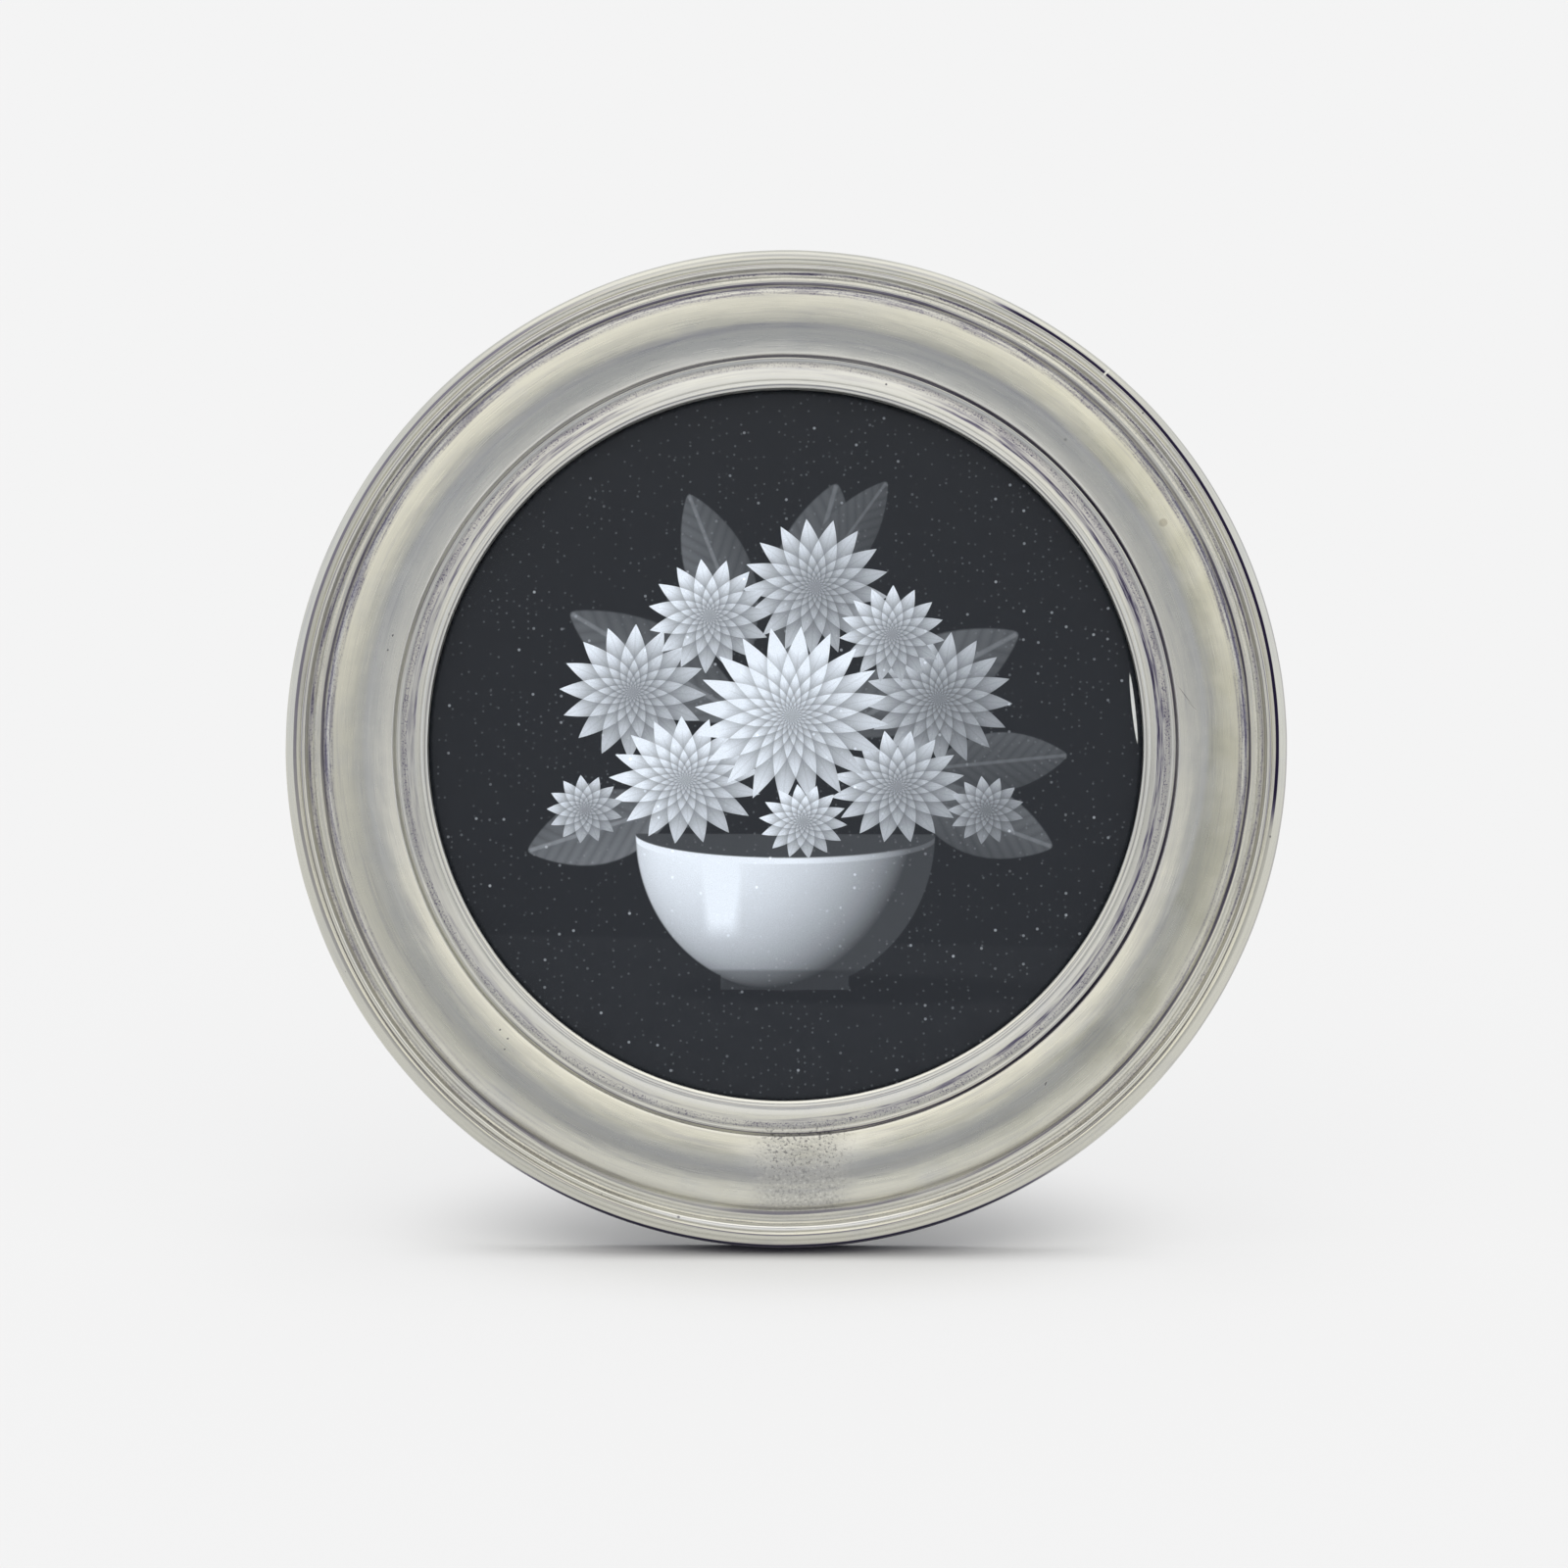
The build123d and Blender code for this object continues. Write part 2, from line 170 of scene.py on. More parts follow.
class Finish(Recipe):
    """A material: a recipe that starts at the piece's coordinates and ends in a surface."""

    def __init__(self, name):
        self.material = bpy.data.materials.new(name)
        self.material.use_nodes = True
        self.material.node_tree.nodes.clear()
        super().__init__(self.material.node_tree)

    def place(self, centre=(0, 0, 0), turn=(0, 0, 0)):
        """Object coordinates, seen from a centre and a turned set of axes."""
        where = self.node("ShaderNodeTexCoord", {}, (), "Object")
        inputs = {"Vector": where, "Location": centre, "Rotation": turn}
        return self.node("ShaderNodeMapping", {"vector_type": "TEXTURE"}, inputs)

    def bump(self, height, strength, distance):
        inputs = {"Height": height, "Strength": strength, "Distance": distance}
        return self.node("ShaderNodeBump", {}, inputs)

    def principled(self, **sockets):
        inputs = {name.replace("_", " "): value for name, value in sockets.items()}
        return self.node("ShaderNodeBsdfPrincipled", {}, inputs)

    def surface(self, shader):
        self.node("ShaderNodeOutputMaterial", {}, {"Surface": shader})
        return self.material


def distance(x, y):
    return (x * x + y * y) ** 0.5


def along_and_across(x, y, centre_x, centre_y, turn, length, width):
    """A place seen from a slanting stroke, in shares of its length and width, given in mm."""
    dx, dy = x - centre_x * mm, y - centre_y * mm
    along = (dx * cos(turn) + dy * sin(turn)) / (length * mm)
    across = (dy * cos(turn) - dx * sin(turn)) / (width * mm)
    return along, across


def placed(name, data):
    """A new object in the scene."""
    piece = bpy.data.objects.new(name, data)
    bpy.context.scene.collection.objects.link(piece)
    return piece


def dress(piece, material):
    """Gives a piece one material."""
    piece.data.materials.clear()
    piece.data.materials.append(material)


# %% [markdown]
# The real ring is cast in pewter and then turned: its moulded face is one section carried round a
# circle. That is a rule, so Geometry Nodes can make it. The section below is that of the CAD model,
# as shares of the face's width and depth, apart from a gentler slope and a shallower groove outside
# the wide band. Each stretch is sampled finely where it shows, and the corners are eased, because
# hand polishing leaves no sharp edge on soft metal.

# %% The ring's section
opening_r = 60.5 * mm
rabbet_r = 63.8 * mm
face_width = ring_r - opening_r
face_depth = 12.5 * mm
ledge_height = 9.9 * mm
back_edge_r = 0.5 * mm
section_start = (0.000, 0.966)
section_shares = (  # the end of each stretch, or its middle and its end
    ((0.020, 1.000), (0.045, 0.980)),
    ((0.050, 0.968),),
    ((0.062, 0.974),),
    ((0.139, 0.913),),
    ((0.184, 0.887), (0.222, 0.897)),
    ((0.231, 0.857),),
    ((0.247, 0.928),),
    ((0.465, 0.984), (0.682, 0.932)),
    ((0.718, 0.868), (0.742, 0.772)),
    ((0.748, 0.744),),
    ((0.760, 0.758),),
    ((0.780, 0.756), (0.801, 0.726)),
    ((0.829, 0.714), (0.853, 0.750)),
    ((0.872, 0.780), (0.890, 0.754)),
    ((0.897, 0.730),),
    ((0.903, 0.740),),
    ((0.931, 0.752), (0.955, 0.714)),
    ((0.960, 0.694),),
    ((0.988, 0.655), (1.000, 0.571)),
)


def arc_points(first, middle, last, step):
    """Points from first to last on the circle through three points, without the last one."""
    (ax, ay), (bx, by), (cx, cy) = first, middle, last
    twice = 2 * (ax * (by - cy) + bx * (cy - ay) + cx * (ay - by))
    a, b, c = ax * ax + ay * ay, bx * bx + by * by, cx * cx + cy * cy
    x = (a * (by - cy) + b * (cy - ay) + c * (ay - by)) / twice
    y = (a * (cx - bx) + b * (ax - cx) + c * (bx - ax)) / twice
    radius = hypot(ax - x, ay - y)
    start = atan2(ay - y, ax - x)
    sweep = (atan2(cy - y, cx - x) - start + pi) % (2 * pi) - pi
    count = max(3, ceil(abs(sweep) * radius / step))
    turns = [start + sweep * index / count for index in range(count)]
    return [(x + radius * cos(turn), y + radius * sin(turn)) for turn in turns]


def line_points(first, last, step):
    count = max(2, ceil(hypot(last[0] - first[0], last[1] - first[1]) / step))
    shares = [index / count for index in range(count)]
    return [tuple(a + (b - a) * share for a, b in zip(first, last)) for share in shares]


def eased(points, passes):
    """Rounds corners: each point moves towards the middle of its neighbours, the ends stay."""
    for _ in range(passes):
        inner = [
            tuple((a + 2 * b + c) / 4 for a, b, c in zip(*three))
            for three in zip(points, points[1:], points[2:])
        ]
        points = [points[0], *inner, points[-1]]
    return points


fine_step = 0.19 * mm
coarse_step = 4.0 * mm
face_points = []
first = section_start
for stretch in section_shares:
    corners = [(opening_r + face_width * a, face_depth * b) for a, b in (first, *stretch)]
    first = stretch[-1]
    sample = arc_points if len(corners) == 3 else line_points
    face_points += sample(*corners, fine_step)
wall_top = corners[-1]
wall_foot = (ring_r, back_edge_r)
back_edge = (ring_r - back_edge_r, 0)
ease = back_edge_r * (1 - cos(pi / 4))
ledge_edge = (opening_r, ledge_height)
hidden_corners = [back_edge, (rabbet_r, 0), (rabbet_r, ledge_height), ledge_edge, face_points[0]]
face_points = eased(face_points + [wall_top], 2)
quiet_points = line_points(wall_top, wall_foot, coarse_step / 2)[1:]
quiet_points += arc_points(wall_foot, (ring_r - ease, ease), back_edge, back_edge_r / 2)
for first, last in zip(hidden_corners, hidden_corners[1:]):
    quiet_points += line_points(first, last, coarse_step)
section_points = [(x, y, 1.0) for x, y in face_points] + [(x, y, 0.0) for x, y in quiet_points]
print("section points:", len(section_points), "of them on the face:", len(face_points))

# %% [markdown]
# The tree lays a flat grid, one row for each point of the section, and wraps it round the axis: a
# vertex's column gives its angle and its row gives its radius and height. A little noise, the same
# after a full turn because it reads the cosine and sine of the angle, moves each radius and height,
# so that the beads and grooves wander as they do on a hand-finished casting. The section's third
# number says how freely a point may wander: the wall, the back and the ledge stay exact. The radius
# before the noise is kept as an attribute, so that the patina follows each groove as it wanders.


# %% Trees with named inputs
def named_tree(name, sockets):
    """A Geometry Nodes tree with named inputs, as its recipe, its group input and their ids."""
    tree = bpy.data.node_groups.new(name, "GeometryNodeTree")
    ids = {}
    for title, (kind, value) in sockets.items():
        socket = tree.interface.new_socket(name=title, in_out="INPUT", socket_type="NodeSocket" + kind)
        if value is not None:
            socket.default_value = value
        ids[title] = socket.identifier
    tree.interface.new_socket(name="Geometry", in_out="OUTPUT", socket_type="NodeSocketGeometry")
    recipe = Recipe(tree)
    group = recipe.node("NodeGroupInput")
    given = {title: group.other(title) for title in sockets}
    return recipe, given, ids


def close_tree(recipe, geometry, material):
    """Ends a tree in Realize Instances and Set Material."""
    solid = recipe.node("GeometryNodeRealizeInstances", {}, (geometry,))
    painted = recipe.node("GeometryNodeSetMaterial", {}, {"Geometry": solid, "Material": material})
    recipe.node("NodeGroupOutput", {}, (painted,))


def grown(name, recipe, ids, values):
    """Runs a tree and returns its result as a plain mesh object at the origin."""
    piece = placed(name, bpy.data.meshes.new(name + "_seed"))
    modifier = piece.modifiers.new("growth", "NODES")
    modifier.node_group = recipe.tree
    for title, value in values.items():
        modifier[ids[title]] = value
    bpy.context.view_layer.update()
    graph = bpy.context.evaluated_depsgraph_get()
    mesh = bpy.data.meshes.new_from_object(piece.evaluated_get(graph))
    piece.modifiers.clear()
    piece.data = mesh
    mesh.name = name
    return piece


# %% The tree that turns a section into a ring
turned_inputs = {
    "Section": ("Object", None),
    "Rows": ("Int", 200),
    "Columns": ("Int", 480),
    "Wander": ("Float", 0.0),
    "Waves": ("Float", 5.0),
    "Material": ("Material", None),
}
tree, given, turned_ids = named_tree("TurnedRing", turned_inputs)
grid = tree.node("GeometryNodeMeshGrid", {}, (1.0, 1.0, given["Columns"] + 1, given["Rows"]))
here = tree.node("GeometryNodeInputPosition")
across, along, _ = tree.split(here)
turn = (across + 0.5) * (2 * pi)
row = ((along + 0.5) * (given["Rows"] - 1)).whole()
section = tree.node("GeometryNodeObjectInfo", {}, (given["Section"],), "Geometry")
by_point = {"data_type": "FLOAT_VECTOR", "domain": "POINT"}
sampled = {"Geometry": section, "Value": here, "Index": row}
radius, height, freedom = tree.split(tree.node("GeometryNodeSampleIndex", by_point, sampled))
around = (turn.cosine() * given["Waves"], turn.sine() * given["Waves"])
sideways = tree.noise(tree.vector(*around, radius * 300), 1.0, 3.0, 0.6)
upwards = tree.noise(tree.vector(*around, radius * 300 + 7), 1.6, 2.0, 0.5)
drift = given["Wander"] * freedom
moved = radius + (sideways - 0.5) * drift
raised = height + (upwards - 0.5) * drift * 0.5
kept = {"Geometry": grid, "Name": "turned", "Value": tree.vector(radius, height, freedom)}
marked = tree.node("GeometryNodeStoreNamedAttribute", by_point, kept)
round_place = tree.vector(moved * turn.cosine(), moved * turn.sine(), raised)
wrapped = tree.node("GeometryNodeSetPosition", {}, {"Geometry": marked, "Position": round_place})
seamless = {"Geometry": wrapped, "Distance": 0.002 * mm}
close_tree(tree, tree.node("GeometryNodeMergeByDistance", {}, seamless), given["Material"])

section_curve = bpy.data.curves.new("ring_section", "CURVE")
section_curve.dimensions = "3D"
spline = section_curve.splines.new("POLY")
spline.points.add(len(section_points))
for slot, corner in zip(spline.points, section_points + section_points[:1]):
    slot.co = (*corner, 1)
section_object = placed("ring_section", section_curve)
turned_values = {
    "Section": section_object,
    "Rows": len(section_points) + 1,
    "Wander": 0.16 * mm,
}
ring = grown("ring_casting", tree, turned_ids, turned_values)
bpy.data.objects.remove(section_object)
print("ring faces:", len(ring.data.polygons))

# %% [markdown]
# The back of the casting is relieved by four curved pockets and drilled for the turn-button screws.
# One Boolean takes all eight away. Each pocket's outline runs between two circles and stops at a
# boss that carries a screw. Then the ring is turned into its place and its lowest edge is ground
# flat where it stands: a cut along the table's plane, closed with a face.

# %% Pockets, screw holes and the standing flat
pocket_wall = 3.9 * mm
pocket_depth = 3.5 * mm
pocket_corner_r = 3.0 * mm
boss_half = 17.0 * mm
button_places = [radians(45 + 90 * index) for index in range(4)]
pivot_r = rabbet_r + 6.7 * mm
hole_r = 1.53 * mm
hole_depth = 7.6 * mm
hole_sides = 24
pocket_steps = 16
below = 1.0 * mm  # how far a cutter starts outside the metal
sharp_angle = radians(42)


def layered(target, *layers):
    """Adds a closed solid through layers: each an outline that runs anticlockwise, and its height."""
    loops = [[target.verts.new((x, y, height)) for x, y in outline] for outline, height in layers]
    target.faces.new(loops[0][::-1])
    target.faces.new(loops[-1])
    for lower, upper in zip(loops, loops[1:]):
        for index, corner in enumerate(lower):
            after = (index + 1) % len(lower)
            target.faces.new((corner, lower[after], upper[after], upper[index]))


def circle(x, y, radius, count):
    turns = [2 * pi * index / count for index in range(count)]
    return [(x + radius * cos(turn), y + radius * sin(turn)) for turn in turns]


def rounded(outline, radius):
    """Rounds the sharp corners of a closed outline with arcs."""
    flat_corner = radians(150)
    arc_steps = 8
    result = []
    for index, corner in enumerate(outline):
        before = Vector(outline[index - 1]) - Vector(corner)
        after = Vector(outline[(index + 1) % len(outline)]) - Vector(corner)
        opening = before.angle(after)
        if opening > flat_corner:
            result.append(corner)
            continue
        reach = radius / sin(opening / 2)
        middle = Vector(corner) + (before.normalized() + after.normalized()).normalized() * reach
        start = atan2(*(Vector(corner) - middle).yx)
        half = (pi - opening) / 2
        for step in range(arc_steps + 1):
            turn = start + half * (2 * step / arc_steps - 1)
            result.append((middle.x + radius * cos(turn), middle.y + radius * sin(turn)))
    return result


cutter_mesh = bmesh.new()
inner_r, outer_r = rabbet_r + pocket_wall, ring_r - pocket_wall
inner_span, outer_span = (pi / 4 - asin(boss_half / radius) for radius in (inner_r, outer_r))
shares = [2 * index / pocket_steps - 1 for index in range(pocket_steps + 1)]
for quarter in range(4):
    middle = quarter * pi / 2
    outer_side = [middle + outer_span * share for share in shares]
    inner_side = [middle - inner_span * share for share in shares]
    outline = [(outer_r * cos(turn), outer_r * sin(turn)) for turn in outer_side]
    outline += [(inner_r * cos(turn), inner_r * sin(turn)) for turn in inner_side]
    pocket = rounded(outline, pocket_corner_r)
    layered(cutter_mesh, (pocket, -below), (pocket, pocket_depth))
for turn in button_places:
    hole = circle(pivot_r * cos(turn), pivot_r * sin(turn), hole_r, hole_sides)
    layered(cutter_mesh, (hole, -below), (hole, hole_depth))
cutter = placed("ring_cutter", bpy.data.meshes.new("ring_cutter"))
cutter_mesh.to_mesh(cutter.data)
cutter_mesh.free()
cut = ring.modifiers.new("pockets", "BOOLEAN")
cut.operation = "DIFFERENCE"
cut.solver = "MANIFOLD"
cut.object = cutter
graph = bpy.context.evaluated_depsgraph_get()
ring_mesh = bpy.data.meshes.new_from_object(ring.evaluated_get(graph))
ring.modifiers.clear()
bpy.data.objects.remove(cutter)

ground = bmesh.new()
ground.from_mesh(ring_mesh)
ground.transform(ring_matrix)
parts = ground.verts[:] + ground.edges[:] + ground.faces[:]
bmesh.ops.bisect_plane(ground, geom=parts, plane_co=(0, 0, 0), plane_no=(0, 0, 1), clear_inner=True)
rim = [edge for edge in ground.edges if edge.is_boundary]
bmesh.ops.triangle_fill(ground, edges=rim, use_beauty=True)
bmesh.ops.recalc_face_normals(ground, faces=ground.faces[:])
open_edges = sum(not edge.is_manifold for edge in ground.edges)
ground.to_mesh(ring_mesh)
print("open edges:", open_edges, "volume, cm3:", round(ground.calc_volume() * 1e6, 2))
ground.free()
ring.data = ring_mesh
ring_mesh.name = "ring_casting"
ring_mesh.shade_smooth()
ring_mesh.set_sharp_from_angle(angle=sharp_angle)
triangles = sum(len(face.vertices) - 2 for face in ring_mesh.polygons)
print("ring triangles:", triangles)

# %% [markdown]
# Pewter is a soft grey-white tin alloy. It is cast, turned, rubbed with a dark patina and wiped, so
# that the high places are creamy and bright, the grooves hold a purple-black line, and the narrow
# fillets stay speckled. All of that follows circles round the ring, so the finish works in polar
# measures. The radius and height come from the tree's attribute, from before they wander. Where a
# point lies round the ring is told by the cosine and sine of its angle, rightwards and upwards.

# %% Polar measures for the pewter
pewter = Finish("cast_pewter")
place = pewter.place(ring_centre, ring_turn)
x, y, _ = pewter.split(place)
away = distance(x, y)
rightwards, upwards = x / away, y / away
side = abs(rightwards)
foot = (upwards * -1.0).most(0.0)
crown = upwards.most(0.0)
section_place = pewter.node("ShaderNodeAttribute", {"attribute_name": "turned"}, (), "Vector")
radius, height, on_face = pewter.split(section_place)
face_across = (radius - opening_r) / face_width


def along_ring(waves, bands, shift=0.0):
    """Coordinates that run round the ring: few waves along it, many bands across it."""
    return pewter.vector(rightwards * waves, upwards * waves, radius * bands + shift)


def towards(angle, start, end):
    """From 0 to 1 as the place nears an angle round the ring, in degrees from the right."""
    nearness = rightwards * cos(radians(angle)) + upwards * sin(radians(angle))
    return pewter.step(nearness, start, end)


def stripe(line, half, soft):
    """1 on a circle of the face: its share of the face's width, its half width and edge in mm."""
    return pewter.band(radius, opening_r + face_width * line, half * mm, soft * mm)


def strand(line, half, soft, waves, stray, seed):
    """A wiped line round the ring. It strays, swells and thins as wet patina does."""
    turn_place = pewter.vector(rightwards * waves, upwards * waves, seed)
    sway, swell, _ = pewter.split(pewter.noise(turn_place, 1.0, 2.0, 0.6, "Color"))
    strays = (sway - 0.5) * (stray * 2 * mm)
    width = (swell * 2.0 - 0.25).most(0.3) * (half * mm)
    return pewter.band(radius - strays, opening_r + face_width * line, width, soft * mm)


def by_foot(elsewhere, at_foot):
    """Goes over from one value to another towards the foot of the ring."""
    return elsewhere * (1 - foot) + at_foot * foot


# %% Streaks, strokes and specks
streaks = pewter.noise(along_ring(7, 5200), 1.0, 3.0, 0.6)
smears = pewter.noise(along_ring(2.6, 900, 11), 1.0, 4.0, 0.6)
fine_streaks = pewter.noise(along_ring(22, 14000, 3), 1.0, 2.0, 0.6)
blotches = pewter.noise(place, 95.0, 3.0, 0.55)
strokes = pewter.step(pewter.noise(along_ring(8, 2500, 9), 1.0, 4.0, 0.62), 0.42, 0.60)
specks = pewter.step(pewter.noise(along_ring(230, 3600, 4), 1.0, 2.0, 0.6), 0.53, 0.63)

# %% [markdown]
# Wiped metal isn't one grey. Its cream tone is partly its own warmth and partly a painted
# reflection of the bright tent: it fills the outer half of the wide band, and the inner half too
# towards the foot, less at the crown. An olive haze lies on the right, and paler places on its left
# and along its crest, away from the crown. The crown and the rim stay duller. Streaks of slate run
# round all of it.

# %% Tones of the wiped metal
cream = (0.73, 0.718, 0.628, 1)
grey = (0.640, 0.642, 0.618, 1)
pale_grey = (0.82, 0.82, 0.79, 1)
dull_grey = (0.47, 0.47, 0.43, 1)
olive = (0.56, 0.55, 0.44, 1)
slate = (0.30, 0.30, 0.375, 1)
outer_half = pewter.step(face_across + foot * 0.09, 0.43, 0.475)
inner_half = pewter.step(face_across, 0.42, 0.32) * foot
# Painted reflection: the cream share follows where the band mirrors the bright tent, over the metal's
# own warm tone.
cream_and_painted_sheen = (outer_half * (0.95 - crown * 0.40) + inner_half * 0.8).least(1.0) * 0.75 + 0.25
haze = outer_half * pewter.step(rightwards, 0.1, 0.85) * pewter.step(face_across, 0.76, 0.70)
haze = haze * (pewter.step(blotches, 0.42, 0.62) * 0.40 + 0.28)
pale_side = stripe(0.345, 1.5, 1.2) * towards(165, 0.75, 0.98)
pale_crest = stripe(0.455, 0.9, 0.8) * pewter.step(crown, 0.93, 0.80)
dull_crown = outer_half * pewter.step(rightwards - crown, 0.1, -0.5)
dull_rim = stripe(0.965, 0.6, 0.5) * (1 - crown) * pewter.step(foot, 0.95, 0.80)
crest = by_foot(
    strand(0.440, 0.36, 0.62, 1.1, 0.35, 2.0),
    strand(0.510, 0.75, 1.1, 1.2, 0.4, 5.0),
)
crest = crest * on_face * (smears * 0.26 + 0.16) * (abs(upwards) * 0.8 + 0.1)
wiped = pewter.mix(cream_and_painted_sheen * (1 - pewter.step(blotches, 0.50, 0.75) * 0.6), grey, cream)
for share, tone in (
    (pale_crest * 0.28, pale_grey),
    (dull_crown * 0.18 + dull_rim * 0.30, dull_grey),
    (pale_side * 0.35, pale_grey),
    (haze, olive),
    (pewter.step(smears, 0.52, 0.74) * 0.30, slate),
    (pewter.step(streaks, 0.46, 0.85) * 0.22, slate),
    (crest, slate),
):
    wiped = pewter.mix(share, wiped, tone)

# %% [markdown]
# The dark wash stays where the rubbing cloth doesn't reach: in the grooves, and as a smeared stain
# on the fillets and coves beside them. It isn't even round the ring. The inner fillet is darkest on
# the right, wiped clean at the crown, and the edge bead keeps its line on the right shoulder and,
# weaker, down the left side.

# %% Where the wash was wiped
right_side = pewter.step(rightwards, -0.3, 0.9)
left_edge = pewter.step(rightwards, -0.30, -0.60) * (1 - foot)
upper_left = towards(148, 0.78, 0.96)
lower_left = towards(195, 0.80, 0.97)
shoulder = towards(28, 0.78, 0.84)
diagonal = abs(rightwards * upwards) * 2
clean_crown = 1 - pewter.step(upwards, 0.86, 0.97) * 0.6
broken = pewter.noise(pewter.vector(rightwards * 2.1, upwards * 2.1, 21.0), 1.0, 2.0)

# %% Stains on the fillets, the cove and the slope
fillet = by_foot(
    strand(0.104, 0.28, 0.28, 2.2, 0.18, 1.0) + strand(0.132, 0.18, 0.32, 3.1, 0.26, 12.0) * 0.75,
    strand(0.131, 0.22, 0.30, 2.2, 0.18, 1.0),
)
outer_band = by_foot(
    strand(0.823, 0.18, 0.26, 1.8, 0.14, 8.0) * 1.2,
    strand(0.850, 0.22, 0.30, 1.6, 0.16, 8.0),
)
speckled = stripe(0.170, 0.40, 0.35) * (clean_crown * 0.5 + 0.5)
cove = stripe(0.802 + foot * 0.02, 0.50, 0.45) * (0.72 - foot * 0.35)
slope = stripe(0.692, 0.60, 0.60) * (1 - foot * 0.8)
inner_wash = (right_side * 0.50 + side * 0.16 + upper_left * 0.22 + 0.24) * clean_crown
smeared = fillet * inner_wash * (strokes * 0.50 + 0.42)
smeared = smeared + speckled * (strokes * 0.16 + specks * 0.26 - foot * 0.08 + 0.20)
smeared = smeared + outer_band * (strokes * 0.16 + specks * 0.08 + 0.19)
smeared = smeared + cove * (strokes * 0.20 + specks * 0.18 + 0.06)
smeared = smeared + slope * (strokes * 0.24 + specks * 0.16 + 0.14)

# %% Dark lines in the grooves, and painted shade on the rim at the foot
deep_share = right_side * (diagonal * 0.30 + 0.06) + crown * 0.12 + foot * 0.14 + 0.27
deep = strand(0.225 + rightwards * 0.004, 0.08, 0.12, 1.6, 0.18, 3.0) * deep_share
deep = deep * (1 - lower_left * 0.55) * 1.2
groove_place = 0.738 + crown * 0.012 + foot * foot * 0.026
outer_share = pewter.step(broken, 0.40, 0.56) * 0.16 + pewter.step(rightwards, 0.88, 0.99) * 0.22
outer_share = outer_share + 0.38 - foot * 0.09
outer_line = strand(groove_place, 0.20, 0.22, 2.4, 0.34, 4.0) * outer_share
side_line = strand(groove_place - 0.032, 0.14, 0.26, 2.8, 0.36, 27.0) * (0.20 - foot * 0.14)
lip_line = stripe(0.021 + foot * 0.026, 0.02, 0.13) * 0.34
thin_line = stripe(0.902 + foot * 0.019 - crown * 0.019 - side * 0.020, 0.03, 0.16) * 0.42
edge_share = shoulder * 0.80 + upper_left * 0.10 + left_edge * 0.22 + 0.18 - foot * 0.1
edge_line = stripe(0.929 + crown * 0.014, 0.20, 0.14) * edge_share
# Painted shade, partly patina: the rim darkens towards the foot, where the ring meets the table.
foot_rim_shade = pewter.step(foot, 0.78, 0.94)
rim_and_shade_share = foot_rim_shade + pewter.step(rightwards, 0.60, 0.90) * 0.26
rim_line_and_shade = stripe(1.0, foot_rim_shade * 0.08 + 0.16, 0.25) * rim_and_shade_share
# The lines hold the rim's painted shade at the foot as well as the patina in the grooves.
lines = deep + outer_line + side_line + lip_line + thin_line + edge_line + rim_line_and_shade

# %% [markdown]
# Above the foot the outer bead gets a painted highlight, and painted shade, with some patina,
# darkens the wall at the foot, where the ring meets the table. The edges beside each groove carry
# painted highlights, partly metal that the cloth rubbed bright. The lip gets painted shade at the
# crown and a painted highlight at the foot.

# %% The whole wash with the painted shade at the foot, and painted highlights on the edges
# Painted highlight on the outer bead above the foot; it also thins the wash there.
foot_highlight = stripe(0.868, 0.45, 0.35) * pewter.step(foot, 0.93, 0.985) * on_face
# Painted shade, partly patina: the outer wall darkens at the foot.
wall_shade_and_patina = stripe(1.0, 0.3, 0.2) * (1 - on_face) * pewter.step(foot, 0.89, 0.96)
wash_and_shade = ((lines + smeared) * on_face * (1 - foot_highlight * 0.8) + wall_shade_and_patina).least(1.0)
# Painted highlights beside the grooves, partly rubbed wear.
edge_highlights_and_wear = 0
for line, half, soft, strength in (
    (0.2435, 0.05, 0.14, 1.0),
    (0.204, 0.06, 0.14, 1.3),
    (0.765, 0.10, 0.20, 0.7),
    (0.862, 0.14, 0.20, 1.1),
):
    edge_highlights_and_wear = stripe(line, half, soft) * strength + edge_highlights_and_wear
lip = stripe(0.05, 0.7, 0.8) * on_face
# Painted highlights on the groove edges and above the foot, painted shade on the lip at the crown.
for share, tone in (
    (edge_highlights_and_wear * on_face * 0.5, (0.88, 0.875, 0.84, 1)),
    (lip * crown * crown * 0.6, (0.54, 0.545, 0.535, 1)),
    (foot_highlight * 0.9 + lip * foot * foot * 0.45, (0.93, 0.925, 0.90, 1)),
):
    wiped = pewter.mix(share, wiped, tone)

# %% [markdown]
# A casting has its own marks: small pits, a speckled patch where the mould was fed at the foot of the
# ring, a brown spot at the right shoulder, a hair scratch below it and a nick in the edge bead. Pale
# painted highlights flare on both sides of the feed mark. Pits come from the cells of a Voronoi
# texture, of which only a few, picked by their random colour, get one.


# %% Pits, scratches and pocks
def mark(centre_x, centre_y, turn, length, width):
    """1 on a short soft stroke, placed in millimetres on the face."""
    u, v = along_and_across(x, y, centre_x, centre_y, turn, length, width)
    return pewter.step(u * u + v * v, 1.0, 0.4)


